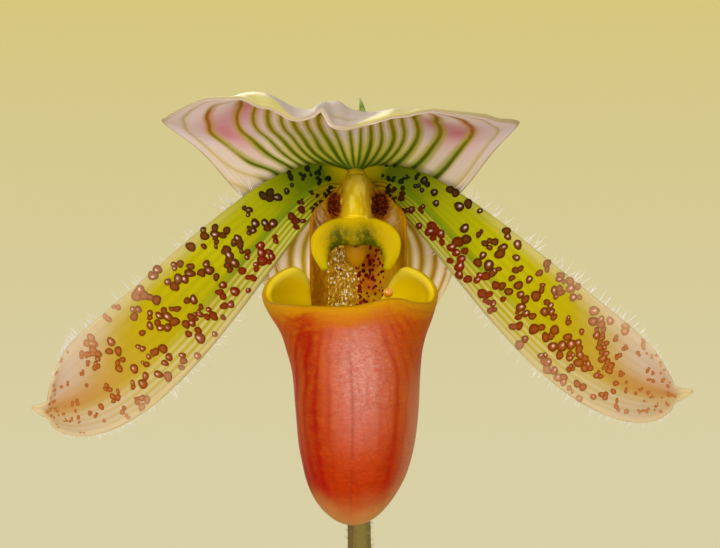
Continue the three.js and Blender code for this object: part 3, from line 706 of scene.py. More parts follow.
def synsepalSheet(u, v):
    centre = curveAt(synsepal["axis"], v)
    width = 15.4 * np.sin(np.pi * v**0.72) ** 1.5 + 2.5 * (1 - v) ** 3 + 0.4
    away = np.abs(u)
    curl = -2.2 * away**2 * np.sin(np.pi * v) + 0.5 * np.sin(11 * v) * away**3
    return stack(centre[..., 0] - u * width, centre[..., 1] + curl, centre[..., 2]), width


def makeSynsepal():
    u, v = np.meshgrid(crowded(-1, 1, 81), crowded(0, 1, 91))
    points, width = synsepalSheet(u, v)
    edge = np.minimum((1 - np.abs(u)) * width, synsepal["length"] * (1 - v))
    half = synsepal["thickness"] / 2 * rounded(edge, 0.5)
    veins = veinFields(-u, synsepal["veins"], synsepal["widths"], width)
    paint = Paint("synsepalPaint", Roughness=0.5, **flesh)
    across, along = paint.field("chart")[:2]
    index, spacing, wide = paint.field("veins")
    ground = blend(noise(paint.place(), 0.3), (255, 246, 236), (255, 234, 214))
    ground = blend(1.0 - along.rise(0.0, 0.2), ground, (180, 160, 20))
    tint = stops(across * 0.5 + 0.5, (0.12, (186, 140, 40)), (0.3, (178, 160, 16)), (0.7, (180, 158, 16)),
                 (0.9, (186, 144, 44)))
    colour = blend(vein(index, spacing, wide * 2.3, 0.4) * 0.8, ground, (222, 190, 30))
    colour = blend(vein(index, spacing, wide * 1.1, 0.2) * 0.9, colour, tint)
    paint.colour(blend(across.size().rise(0.94, 1.0), colour, (226, 210, 160)))
    paint.relief(paint.grain(0.6, 300.0, 1200.0, 1800.0), 0.25)
    skin = pillow(points, half, {"chart": (u, v, None), "veins": veins})
    piece("synsepalSkin", *skin, paint.material, "hood", ["synsepal"])


makeSynsepal()
print("synsepal made")

# The petals slope down to each side. lift runs from -1 at the lower margin to 1 at the upper one. upper and
# lower hold, for each half, its width at the foot, its full width, how it swells and how blunt it ends.
petals = {
    "left": {
        "axis": [[-2.2, 0.6, -2.1], [-11.6, -6, 3.2], [-34.5, 0, -44.6], [-54.1, 5, -39.4]],
        "upper": (1.5, 12, 1.02, 7.3),
        "lower": (2.6, 7, 1, 9.8),
        "towards": -1,
        "seed": 11,
    },
    "right": {
        "axis": [[2.2, 0.6, -1.8], [11.6, -6, 3.1], [34.2, 0, -42.8], [56.2, 5, -36.7]],
        "upper": (1.5, 12, 1.17, 4.7),
        "lower": (2.6, 6.4, 1.19, 12.6),
        "towards": 1,
        "seed": 23,
    },
}
petal = {
    "length": 66.0,
    "thickness": 0.9,
    "veins": [-0.84, -0.68, -0.51, -0.34, -0.17, 0.0, 0.17, 0.34, 0.51, 0.67, 0.83],
    "widths": [0.35, 0.45, 0.5, 0.5, 0.5, 0.55, 0.45, 0.45, 0.4, 0.4, 0.35],
    "darts": 6000,
    "warts": 300,
    "wartsEnd": 0.955,
    # Hairs along a margin: which one, from where to where, how many, and the longest.
    "hairs": ((1, 0.27, 0.95, 80, 3.3), (-1, 0.32, 0.96, 75, 2.9)),
    "hairRadius": 0.05,
}


# P = axis(v) + lift * width(v) square to the axis, where the width swells by a sine, ends bluntly and leaves a
# small point; the blade is cupped forward and waved at its margins.
def petalSheet(shape, lift, v):
    towards = shape["towards"]
    centre = curveAt(shape["axis"], v)
    tangent = tangentAt(shape["axis"], v)
    square = unit(stack(-tangent[..., 2], 0, tangent[..., 0]) * np.sign(tangent[..., :1]))
    share = clamp01(v / petal["wartsEnd"])
    base, wide, swell, blunt = (np.where(lift > 0, a, b) for a, b in zip(shape["upper"], shape["lower"]))
    body = mix(base, wide, np.sin(np.pi / 2 * share**swell)) * np.sqrt(np.maximum(0, 1 - share**blunt))
    spike = 1.9 * clamp01((1 - v) / 0.07) ** 1.1 + 0.25
    width = np.maximum(body, spike)
    away = np.abs(lift)
    fullness = np.minimum(1, width / 5)
    points = centre + square * (lift * width)[..., None]
    points[..., 1] += fullness * (0.8 * (1 - away**2) - 2.2 * v**4 * away**1.3)
    points[..., 1] += 0.45 * np.sin(26 * v + towards) * away**3 * smooth(0.1, 0.3, v) * fullness
    return points, width, square


def paintPetal():
    paint = Paint("petalPaint", Roughness=0.45, **dict(flesh, Specular_IOR_Level=0.02))
    lift, v, face = paint.field("chart")
    index, spacing, width = paint.field("veins")
    soft = noise(paint.place(), 0.12, 2.0)
    upper = lift.rise(-0.3, 0.1)
    streak = vein(index, spacing, width * 2.2, 0.45)
    line = vein(index, spacing, width, 0.16)
    cream = stops(v, (0.16, (170, 164, 10)), (0.28, (190, 184, 96)), (0.5, (180, 166, 118)),
                  (0.7, (174, 156, 124)), (0.85, (170, 150, 132)), (0.97, (166, 138, 114)))
    green = stops(v, (0.0, (196, 168, 0)), (0.05, (140, 130, 0)), (0.09, (28, 50, 0)),
                  (0.18, (58, 76, 0)), (0.28, (140, 140, 0)), (0.42, (166, 158, 0)), (0.58, (162, 146, 0)),
                  (0.74, (160, 128, 16)), (0.95, (156, 112, 56)))
    darkLine = stops(v, (0.0, (90, 70, 0)), (0.12, (30, 50, 0)), (0.3, (126, 132, 0)),
                  (0.62, (156, 140, 0)), (0.85, (150, 112, 50)))
    # The yellow-green field: the whole width near the base, then the upper half, narrowing a little outwards.
    top = 1.45 - v.rise(0.4, 0.9) * 1.15 + (soft - 0.5) * 0.5
    field = (1.0 - (lift - top).rise(-0.4, 0.4)) * (lift + v * 0.1).rise(-0.36, 0.04)
    field = field.math("MAXIMUM", 1.0 - v.rise(0.1, 0.26))
    field = field.math("MAXIMUM", lift.peak(0.08, 0.24) * v.rise(0.6, 0.75) * 0.85)
    field = field * (1.0 - v.rise(0.62, 0.95) * 0.35)
    colour = blend(field, cream, green)
    lower = (1.0 - upper) * (1.0 - v.rise(0.5, 0.85) * 0.6)
    colour = blend(streak * lower * 0.55, colour, (172, 160, 0))
    colour = blend(streak * upper * (1.0 - v.rise(0.5, 0.8)) * 0.3, colour, (120, 128, 0))
    colour = blend(line * (lower * 0.6 + 0.3) * (1.0 - v.rise(0.5, 0.9) * 0.6), colour, darkLine)
    midrib = lift.peak(-0.12, 0.13) * v.rise(0.04, 0.14) * (1.0 - v.rise(0.36, 0.62))
    colour = blend(midrib * 0.7, colour, (76, 108, 0))
    brown = (1.0 - lift.rise(-0.45, 0.1)) * (1.0 - v.rise(0.07, 0.2))
    colour = blend(brown * 0.85, colour, (160, 134, 0))
    colour = blend(vein(lift * 4.5, 0.5, 0.18, 0.1) * brown * 0.9, colour, (46, 26, 0))
    edge = lift.size().rise(0.7, 1.0) * v.rise(0.25, 0.5)
    colour = blend(edge * 0.5, colour, (186, 170, 136))
    tan = v.rise(0.7, 0.86) * (1.0 - v.rise(0.94, 0.965)) * lift.peak(0.08, 0.2)
    colour = blend(tan * 0.55, colour, (156, 104, 16))
    colour = blend(v.rise(0.945, 0.985), colour, (182, 166, 124))
    back = blend(line * 0.4, blend(v, (120, 136, 20), (204, 176, 130)), (96, 112, 10))
    paint.colour(blend(face * 0.5 + 0.5, back, colour))
    grain = paint.grain(0.9)
    paint.relief(grain * 0.5 - streak * (1.0 - v.rise(0.45, 0.8)) * 0.35, 0.14)
    return paint.material


# Where the warts lie: darts thrown over the blade that keep their distance, larger in the middle of its length,
# with mates beside some of them. Each has its spot and size in millimetres and its place on the blade.
def wartPlaces(shape):
    draw = np.random.default_rng(shape["seed"])
    kept = []
    for k in range(petal["darts"]):
        lift, v = draw.uniform(-1, 0.98), draw.uniform(0.07, petal["wartsEnd"])
        chance = 1 - 0.75 * float(bump(v, 0.27, 0.08))
        if draw.uniform() > chance or len(kept) >= petal["warts"]:
            continue
        size = mix(0.42, 0.66, float(smooth(0.1, 0.35, v))) * mix(1, 0.44, float(smooth(0.66, 0.9, v)))
        size *= draw.uniform(0.7, 1.25)
        wide = petalSheet(shape, np.array(lift), np.array(v))[1]
        spot = np.array([v * petal["length"], lift * wide])
        if abs(lift) * wide > wide - 0.25:
            continue
        room = [np.hypot(*(spot - other[0])) - 0.55 * (size + other[1]) for other in kept]
        near, nearer = mix(0.9, 0.6, float(smooth(0.1, 0.4, v))), mix(1, 0.5, float(smooth(0.7, 0.88, v)))
        if room and min(room) < mix(0.5, 0.95, draw.uniform()) * near * nearer:
            continue
        kept.append((spot, size, lift, v))
        for again in range(int(draw.choice([0, 1, 2, 3], p=[0.42, 0.32, 0.18, 0.08]))):
            turn = draw.uniform(-0.9, 0.9) + (math.pi / 2 if draw.uniform() < 0.7 else 0)
            mate = spot + 1.45 * size * np.array([math.cos(turn), math.sin(turn)])
            if abs(mate[1]) < wide - 0.25 and mate[0] < petal["wartsEnd"] * petal["length"]:
                kept.append((mate, size * draw.uniform(0.7, 1.0), mate[1] / wide, mate[0] / petal["length"]))
    return kept


def paintWarts():
    paint = Paint("wartPaint", Roughness=0.3, Specular_IOR_Level=0.02)
    x, y, v = paint.field("chart")
    lift, pick = paint.field("margin")[:2]
    away = (x * x + y * y).math("SQRT")
    # Darker at the rim and paler in the middle: partly the warts' own colour and partly painted shading of each
    # dome.
    rim = stops(v, (0.1, (6, 16, 0)), (0.2, (18, 18, 0)), (0.36, (60, 30, 0)), (0.6, (100, 43, 0)),
                (0.8, (132, 66, 2)), (0.95, (144, 80, 18)))
    middle = stops(v, (0.1, (10, 22, 0)), (0.2, (28, 26, 0)), (0.36, (82, 44, 2)), (0.6, (124, 62, 10)),
                   (0.8, (150, 86, 38)), (0.95, (158, 98, 54)))
    colour = blend(away.rise(0.25, 0.9), middle, rim)
    colour = blend((1.0 - lift.rise(-0.3, 0.1)) * v.peak(0.4, 0.18) * 0.6, colour, (126, 26, 0))
    colour = blend(lift.size().rise(0.45, 1.0) * v.rise(0.4, 0.7) * 0.7, colour, (178, 138, 104))
    # A painted highlight, a pale crown, on the larger ones.
    crown = (x - 0.2).peak(0.0, 0.26) * (y - 0.1).peak(0.0, 0.2) * pick.rise(0.5, 0.8) * v.rise(0.16, 0.34)
    paint.colour(blend(crown * (1.0 - v.rise(0.6, 0.85)) * 0.85, colour, (224, 200, 190)))
    return paint.material


petalMaterial, wartMaterial = paintPetal(), paintWarts()
hairMaterial = twoTone("hairPaint", 1, (248, 240, 250), (236, 226, 242), Roughness=0.4, Alpha=0.8)


# Half the blade's thickness where it is this far from its margin.
def petalHalf(lift, v, edge):
    return (petal["thickness"] - 0.2 * np.abs(lift) * v) / 2 * rounded(edge, 0.6)


def makePetalSkin(name, shape):
    lift, v = np.meshgrid(crowded(-1, 1, 71), mix(np.linspace(0, 1, 221), crowded(0, 1, 221), 0.5))
    points, width = petalSheet(shape, lift, v)[:2]
    if shape["towards"] > 0:
        lift, v, points, width = (a[:, ::-1] for a in (lift, v, points, width))
    half = petalHalf(lift, v, np.minimum((1 - np.abs(lift)) * width, petal["length"] * (1 - v)))
    veins = veinFields(lift, petal["veins"], petal["widths"], width)
    skin = pillow(points, half, {"chart": (lift, v, None), "veins": veins})
    piece(name + "_skin", *skin, petalMaterial, "petal", [name])


def makeWarts(name, shape, draw):
    spots = wartPlaces(shape)
    sizes, lifts, places = (np.array([spot[k] for spot in spots]) for k in (1, 2, 3))
    step = 1e-3
    middle, wide = petalSheet(shape, lifts, places)[:2]
    forward = unit(petalSheet(shape, lifts, places + step)[0] - petalSheet(shape, lifts, places - step)[0])
    up = unit(petalSheet(shape, lifts + step, places)[0] - petalSheet(shape, lifts - step, places)[0])
    normals = unit(np.cross(forward, up) * shape["towards"])
    turn = draw.uniform(-0.7, 0.7, len(spots))[:, None]
    axes = forward * np.sin(turn) + up * np.cos(turn)
    stretch = draw.uniform(1.0, 1.35, len(spots))
    centres = middle + normals * (petalHalf(lifts, places, (1 - np.abs(lifts)) * wide) - 0.04)[:, None]
    height = sizes * mix(0.22, 0.5, smooth(0.15, 0.4, places)) * (1 - 0.5 * smooth(0.75, 0.95, places))
    vertices, faces, chart = domes(centres, normals, axes, sizes * stretch, sizes, height, shape["seed"])
    each = len(vertices) // len(spots)
    picks = draw.uniform(size=len(spots))
    fields = {"chart": stack(chart[:, 0], chart[:, 1], np.repeat(places, each)),
              "margin": stack(np.repeat(lifts, each), np.repeat(picks, each), 0)}
    piece(name + "_warts", vertices, faces, fields, wartMaterial, "petal")


def makeMarginHairs(name, shape, draw):
    parts = []
    for margin, start, stop, count, longest in petal["hairs"]:
        t = np.sort(draw.uniform(start, stop, count))
        root, wide, outward = petalSheet(shape, np.full(count, 0.985 * margin), t)
        lean = tangentAt(shape["axis"], t) * draw.normal(0.05, 0.3, (count, 1))
        direction = unit(outward * margin + lean + stack(0, draw.normal(-0.1, 0.25, count), 0))
        length = longest * draw.uniform(0.35, 1, count) * mix(1, 0.5, smooth(0.6, 0.95, t))
        curl = np.stack([draw.normal(middle, 0.12, count) for middle in (0, 0, 0.08)], -1)
        parts.append(hairs(root, direction, length * np.minimum(1, wide / 5), petal["hairRadius"], curl))
    piece(name + "_hairs", *together(*parts), hairMaterial, "petal")


for side, shape in petals.items():
    draw = np.random.default_rng(shape["seed"] + 1)
    makePetalSkin("petal_" + side, shape)
    makeWarts("petal_" + side, shape, draw)
    makeMarginHairs("petal_" + side, shape, draw)
print("petals made")

# The slipper: a pouch of width and depth by height, a rim whose height goes by the angle from the front, and a
# claw from its back wall up to the hub.
slipper = {
    "toe": -56.1,
    "cap": 8.6,
    "width": [[-56.6, 6.1], [-50, 7.25], [-44, 8.65], [-38, 9.3], [-32, 9.75], [-27, 10.85], [-23, 12.4],
              [-20.5, 13.2]],
    "depth": [[-56.6, 5.8], [-50, 8.6], [-44, 10.9], [-38, 12], [-32, 12.7], [-23, 12.5]],
    "rim": [[0, -22.2], [75, -21.5], [90, -20.3], [100, -18.6], [115, -16.9], [130, -16.1], [142, -16.9],
            [151, -18.8], [160, -22], [180, -24]],
    "claw": [[0.4, 0.9, -2.6], [0.4, -4.8, -6], [0.4, -8.6, -12], [0.4, -9.4, -29]],
    # Veins by their angle from the front, in degrees, and their widths.
    "veins": [-176, -126, -104, -88, -71, -55, -39, -25, -13, -3, 9, 22, 37, 51, 66, 84, 104, 126, 176],
    "veinWidths": [0.3, 0.4, 0.5, 0.6, 1.2, 1.3, 0.7, 0.5, 0.4, 0.6,
                   0.4, 0.5, 1.0, 0.5, 0.9, 0.6, 0.5, 0.4, 0.3],
}


def pouchAt(z):
    cap = np.sqrt(np.maximum(0, 1 - clamp01((slipper["toe"] + slipper["cap"] - z) / slipper["cap"]) ** 2))
    centre = -0.9 * smooth(-29, -20.5, z) - 0.25 * bump(z, -28.5, 2.5) + 0.2 * bump(z, -39, 7)
    centre = centre - 0.4 * smooth(-46, -54, z)
    middle = -21.6 - 2 * smooth(-30, -56, z)
    return centre, middle, through(slipper["width"], z) * cap, through(slipper["depth"], z) * cap


def rimAt(angle):
    turn = (angle + 540) % 360 - 180
    return through(slipper["rim"], np.abs(turn)) + 1.15 * bump(turn, 30, 20)


def pouchSheet(angle, t):
    z = mix(slipper["toe"], rimAt(angle), t**1.7)
    centre, middle, width, depth = pouchAt(z)
    curl = 1 - 0.13 * clamp01((z + 20.5) / 4.4) ** 2
    turn = np.radians(angle)
    return stack(centre + width * curl * np.sin(turn), middle - depth * curl * np.cos(turn), z)


def paintPouch():
    paint = Paint("pouchPaint", Roughness=0.42, **flesh)
    sine, cosine, face = paint.field("turn")
    z, fromRim = paint.field("level")[:2]
    index, spacing, width = paint.field("veins")
    angle = sine.math("ARCTAN2", cosine) * (180 / math.pi)
    sideways = angle.size()
    place = paint.place()
    soft = noise(place, 0.12, 3.0)
    fine = noise(paint.place(1000.0, 1000.0, 1800.0), 0.5, 4.0, 0.65)
    red = blend(z.rise(-52.0, -34.0), (160, 44, 0), (172, 74, 0))
    # The paler pink front: partly the skin's own colour and partly painted sheen where the front faces the
    # lamps.
    pinkAndSheen = angle.peak(1.0, 23.0 - z.rise(-34.0, -26.0) * 7.0) * z.rise(-47.0, -38.0)
    pinkAndSheen = pinkAndSheen * (1.0 - z.rise(-27.0, -23.5))
    body = blend(pinkAndSheen * (fine * 0.8 + 0.55), red, (174, 88, 72))
    # The front: a painted sheen, paler, with fine ripples of painted highlight across the pouch.
    ripple = noise(paint.place(900.0, 900.0, 2000.0), 1.25, 5.0, 0.75)
    sheenFront = angle.peak(4.0, 23.0) * z.peak(-32.0, 8.0)
    body = blend(sheenFront * ripple.rise(0.28, 0.62) * 0.75, body, (178, 118, 104))
    body = blend(sheenFront * ripple.rise(0.5, 0.72) * 0.5, body, (208, 164, 152))
    # Thin wavy creases all over: painted highlights on the front, painted shade in them elsewhere.
    crease = 1.0 - (noise(paint.place(1000.0, 1000.0, 1500.0), 0.5, 5.0, 0.75) - 0.5).size().rise(0.0, 0.06)
    body = blend(crease * sheenFront * 0.3, body, (214, 170, 158))
    body = blend(crease * (1.0 - sheenFront) * (1.0 - z.rise(-25.0, -22.0)) * 0.2, body, (132, 24, 0))
    wave = (noise(place, 0.11, 2.0) - 0.5) * 1.6 + (noise(place, 0.45, 2.0) - 0.5) * 0.35
    thin = vein(index * 2.0 + wave * 1.6, spacing * 0.5, 0.12, 0.35) * 0.2
    thick = vein(index + wave, spacing, width * (fine * 1.4 + 0.5), 0.8) * (soft.rise(0.3, 0.62) * 0.6 + 0.4)
    front = sideways.rise(14.0, 42.0) * 0.85 + 0.15
    dark = (thick + thin).math("MINIMUM", 1.0) * (1.0 - z.rise(-24.6, -22.4)) * front
    dark = dark * (1.0 - z.rise(-33.0, -27.0) * angle.rise(36.0, 60.0) * 0.75)
    dark = dark * (1.0 - angle.rise(20.0, 40.0) * 0.35)
    deep = angle.peak(-44.0, 11.0) * (1.0 - z.rise(-26.0, -23.0))
    deep = deep + angle.peak(36.0, 9.0) * (1.0 - z.rise(-46.0, -40.0)) * 0.7
    deep = deep * z.rise(-54.0, -49.0) * fine.rise(0.25, 0.65)
    body = blend(deep * 0.75, body, (152, 20, 0))
    body = blend(dark * 0.95, body, (148, 6, 0))
    central = angle.peak(-4.0, 1.6) * (1.0 - z.rise(-31.0, -27.0)) * soft.rise(0.3, 0.6)
    body = blend(central * 0.32, body, (92, 30, 20))
    strands = net(paint.place(1000.0, 1000.0, 620.0), 0.42, 0.1)
    body = blend(strands * 0.16 * (1.0 - z.rise(-27.0, -24.0)), body, (120, 16, 0))
    # Paler towards the sides: partly the skin's own colour and partly painted rim light at the edges.
    paleSidesAndRimLight = (angle.rise(40.0, 74.0) + sideways.rise(70.0, 90.0) * 0.4) * (1.0 - z.rise(-38.0, -29.0))
    body = blend(paleSidesAndRimLight * 0.75, body, (188, 124, 86))
    toe = (1.0 - (z + (soft - 0.5) * 5.0 - sideways * 0.02).rise(-57.5, -50.0)) * 0.85
    body = blend(toe, body, (184, 134, 74))
    ochre = blend(fromRim.rise(0.0, 3.4), (178, 126, 0), (170, 88, 0))
    streaky = noise(paint.place(1000.0, 1000.0, 2600.0), 0.26, 4.0, 0.65)
    band = (1.0 - (fromRim + (streaky - 0.5) * 8.0).rise(0.6, 5.5)) * (1.0 - dark * 0.5)
    body = blend(band, body, ochre)
    # Red-brown arcs under the rim, strongest at the left.
    arcs = vein((fromRim + (soft - 0.5) * 5.0) * 0.62, 1.6, 0.2, 0.5)
    arcs = arcs * fromRim.rise(0.4, 1.4) * (1.0 - fromRim.rise(3.5, 7.0))
    body = blend(arcs * (angle.peak(-42.0, 16.0) + angle.peak(52.0, 22.0) * 0.5), body, (144, 26, 0))
    stain = angle.peak(-36.0, 13.0) * fromRim.peak(3.6, 2.4) * streaky.rise(0.3, 0.6)
    body = blend(stain * 0.75, body, (148, 30, 0))
    body = blend(z.rise(-21.8, -18.5) * sideways.rise(70.0, 95.0), body, (186, 154, 0))
    inside = blend(z.rise(-30.0, -21.0), (150, 100, 0), (240, 205, 0))
    inside = blend((1.0 - fromRim.rise(0.2, 2.2)) * sideways.rise(80.0, 110.0) * 0.7, inside, (228, 206, 60))
    paint.colour(blend(face.rise(-0.6, 0.6), inside, body))
    folds = paint.grain(0.75, 350.0, 350.0, 1300.0)
    paint.relief((folds * 0.8 + ripple * 0.5 + crease * 0.12 - thick * 0.15) * (face * 0.5 + 0.5), 0.3)
    return paint.material


def makePouch():
    around, up = 200, 130
    angles = np.arange(around) * 360 / around
    s = np.linspace(0, 1, up)
    angle, t = np.meshgrid(angles, 1 - (1 - s) ** 1.35)
    points = pouchSheet(angle, np.maximum(t, 1e-4))
    fromRim = rimAt(angle) - points[..., 2]
    normal = normalsOf(points, wrap=True)
    half = (0.4 + 0.38 * smooth(0.88, 1, t)) * rounded(fromRim, 1.1)
    half[-1] = 0
    outer = points + normal * half[..., None]
    inner = points - normal * half[..., None]
    index = np.arange(up * around).reshape(up, around)
    under = index + up * around
    under[-1] = index[-1]
    index = np.concatenate([index, index[:, :1]], 1)
    under = np.concatenate([under, under[:, :1]], 1)
    low = slipper["toe"]
    middle = pouchAt(np.array(low))[1]
    toe = np.array([[0, middle, low - 0.4], [0, middle, low + 0.4]])
    first = 2 * up * around
    faces = [quadsOf(index[1:]), quadsOf(under[1:], True)]
    faces.append(np.stack([np.full(around, first), index[1, 1:], index[1, :-1]], -1))
    faces.append(np.stack([np.full(around, first + 1), under[1, :-1], under[1, 1:]], -1))
    vertices = np.concatenate([outer.reshape(-1, 3), inner.reshape(-1, 3), toe])
    vertices[:around] = toe[0]
    vertices[up * around:(up + 1) * around] = toe[1]
    used = np.unique(np.concatenate([f.ravel() for f in faces]))
    renumber = np.zeros(len(vertices), int)
    renumber[used] = np.arange(len(used))
    turn = np.radians(angle)
    face = np.ones_like(turn)
    face[-1] = 0
    turns = np.concatenate([stack(np.sin(turn), np.cos(turn), face).reshape(-1, 3),
                            stack(np.sin(turn), np.cos(turn), -face).reshape(-1, 3), [[0, 1, 1], [0, 1, -1]]])
    level = stack(points[..., 2], fromRim, 0).reshape(-1, 3)
    levels = np.concatenate([level, level, [[slipper["toe"], 34, 0], [slipper["toe"], 34, 0]]])
    signed = (angle + 540) % 360 - 180
    bend = 1 - 0.62 * smooth(-34, -20.5, points[..., 2])
    leaned = np.clip(signed / bend, -160, 160) / 180
    reach = sum(pouchAt(points[..., 2])[2:]) / 2 * np.pi * bend
    places = np.array(slipper["veins"]) / 180
    lines = stack(*veinFields(leaned, places, slipper["veinWidths"], reach)).reshape(-1, 3)
    lines = np.concatenate([lines, lines, [[0.5, 1, 0.1], [0.5, 1, 0.1]]])
    fields = {"turn": turns[used], "level": levels[used], "veins": lines[used]}
    faces = [renumber[f] for f in faces]
    piece("slipperSkin", vertices[used], faces, fields, paintPouch(), "slipper", ["slipper_lip"])


makePouch()


claw = {
    "length": 28,
    "thickness": 0.9,
    "seed": 5,
    "dew": 520,
    # Rows of dots up the claw, the places across of each row's dots, and how large each is beside the others.
    "dotRows": (0.6, 0.87, 13),
    "dotsAcross": [-0.02, -0.13, -0.23, -0.33, -0.43, -0.52, 0.4],
    "dotSizes": [1.35, 1.1, 1, 1, 0.9, 0.7, 0.6],
    "velvet": 900,
    "drop": ([5.05, -23.5, -20.1], [0.8, 0.74, 0.82]),
}


# The claw: P = axis(v) + u * width(v) along x, its sides rolled in, lying on the pouch's back wall lower down.
def clawSheet(u, v):
    centre = curveAt(slipper["claw"], v)
    width = mix(3.6, 7.7, smooth(0, 0.42, v)) - 0.5 * smooth(0.7, 1, v)
    x = centre[..., 0] - u * width
    z = centre[..., 2]
    rolled = -1.6 * np.abs(u) ** 2 * smooth(0, 0.3, v) - 2.4 * np.abs(u) ** 6 * smooth(0.15, 0.4, v)
    middleX, middleY, wide, depth = pouchAt(z)
    wall = middleY + depth * np.sqrt(np.maximum(0, 1 - ((x - middleX) / wide) ** 2)) - 0.4
    y = mix(centre[..., 1] + rolled, wall, smooth(-19.5, -23.5, z))
    return stack(x, y, z), width


def paintClaw():
    paint = Paint("clawPaint", Roughness=0.35, **flesh)
    across = paint.field("chart")[0]
    x, z = paint.field("spot")[:2]
    place = paint.place()
    ground = blend(noise(place, 0.4, 3.0), (196, 150, 0), (164, 112, 0))
    side = across.size().rise(0.55, 0.8) * (1.0 - z.rise(-10.0, -6.0))
    ground = blend(side, ground, blend(x.rise(-2.0, 2.0), (166, 104, 0), (194, 146, 10)))
    upper = z.rise(-7.5, -4.5)
    ground = blend(upper, ground, (176, 148, 0))
    stripes = vein(across * 5.0, 0.8, 0.18, 0.12) * across.size().rise(0.4, 0.6) * upper
    ground = blend(stripes * 0.8, ground, (84, 50, 0))
    # Paler beige by the dark patches: partly the skin's own colour and partly painted highlight on the rolled
    # margins.
    beigeAndHighlight = x.size().peak(6.2, 0.8) * z.peak(-8.6, 2.0) * noise(place, 0.7, 2.0).rise(0.3, 0.6)
    ground = blend(beigeAndHighlight * 0.8, ground, (222, 192, 140))
    ground = blend(across.size().rise(0.94, 1.0) * 0.7, ground, (150, 96, 0))
    blush = x.peak(2.2, 1.7) * (1.0 - z.rise(-12.0, -10.0)) * noise(place, 0.5).rise(0.35, 0.6)
    colour = blend(blush * 0.75, ground, (180, 62, 0))
    bed = x.peak(-2.4, 2.3) * (1.0 - z.rise(-11.5, -9.5))
    wet = blend(noise(place, 1.3, 3.0, 0.7).rise(0.42, 0.58), (116, 58, 0), (212, 164, 16))
    colour = blend(bed * 0.8, colour, wet)
    right = x.rise(-0.5, 0.5)
    aside = ((x.size() - 3.7 - right * 0.3) / (right * 0.45 + 1.3), (z + 6.2) / 2.25)
    speckle = noise(place, 2.4, 2.0, 0.7)
    reach = (aside[0] * aside[0] + aside[1] * aside[1]).math("SQRT") + (speckle - 0.5) * 0.7
    colour = blend((1.0 - reach.rise(0.9, 1.4)) * 0.75, colour, (168, 88, 10))
    maroon = blend(speckle.rise(0.45, 0.65), blend(right, (76, 18, 0), (56, 8, 0)), (136, 62, 12))
    colour = blend(1.0 - reach.rise(0.75, 1.05), colour, maroon)
    paint.colour(colour)
    paint.relief(cells(place, 1.5, "SMOOTH_F1"), 0.3)
    return paint.material


def makeClaw():
    u, v = np.meshgrid(crowded(-1, 1, 91), crowded(0, 1, 141, 0.4))
    points, width = clawSheet(u, v)
    edge = np.minimum((1 - np.abs(u)) * width, claw["length"] * (1 - v))
    half = claw["thickness"] / 2 * rounded(edge, 0.45)
    fields = {"chart": (u, v, None), "spot": (points[..., 0], points[..., 2], 0)}
    piece("clawSkin", *pillow(points, half, fields), paintClaw(), "slipper", ["slipper_lip"])


# Points on the claw's face at these charted places, with the normal and the way along the claw.
def onClaw(across, along):
    step = 1e-3
    spot = clawSheet(across, along)[0]
    forward = unit(clawSheet(across, along + step)[0] - clawSheet(across, along - step)[0])
    side = unit(clawSheet(across + step, along)[0] - clawSheet(across - step, along)[0])
    normals = unit(np.cross(side, forward))
    return spot + normals * 0.42, normals, forward


# A piece of small domes on the claw, each with its own pick from 0 to 1.
def makeStuds(name, spots, long, short, height, seed, material, draw):
    vertices, faces, chart = domes(*spots, long, short, height, seed, 8)
    picks = np.repeat(draw.uniform(size=len(short)), len(vertices) // len(short))
    fields = {"chart": stack(chart[:, 0], chart[:, 1], picks)}
    piece(name, vertices, faces, fields, material, "slipper")


def paintDew():
    dew = Paint("dewPaint", Roughness=0.12, Coat_Weight=0.6, Coat_Roughness=0.03)
    x, y, pick = dew.field("chart")
    reach = (x * x + y * y).math("SQRT")
    # The palest tones are painted glints; the others are the beads' own gold.
    goldAndGlint = stops(pick, (0.1, (176, 116, 0)), (0.4, (224, 172, 8)), (0.7, (240, 200, 40)),
                 (0.92, (255, 246, 200)))
    dew.colour(blend(reach.rise(0.3, 1.0) * 0.6, goldAndGlint, (176, 126, 10)))
    return dew.material


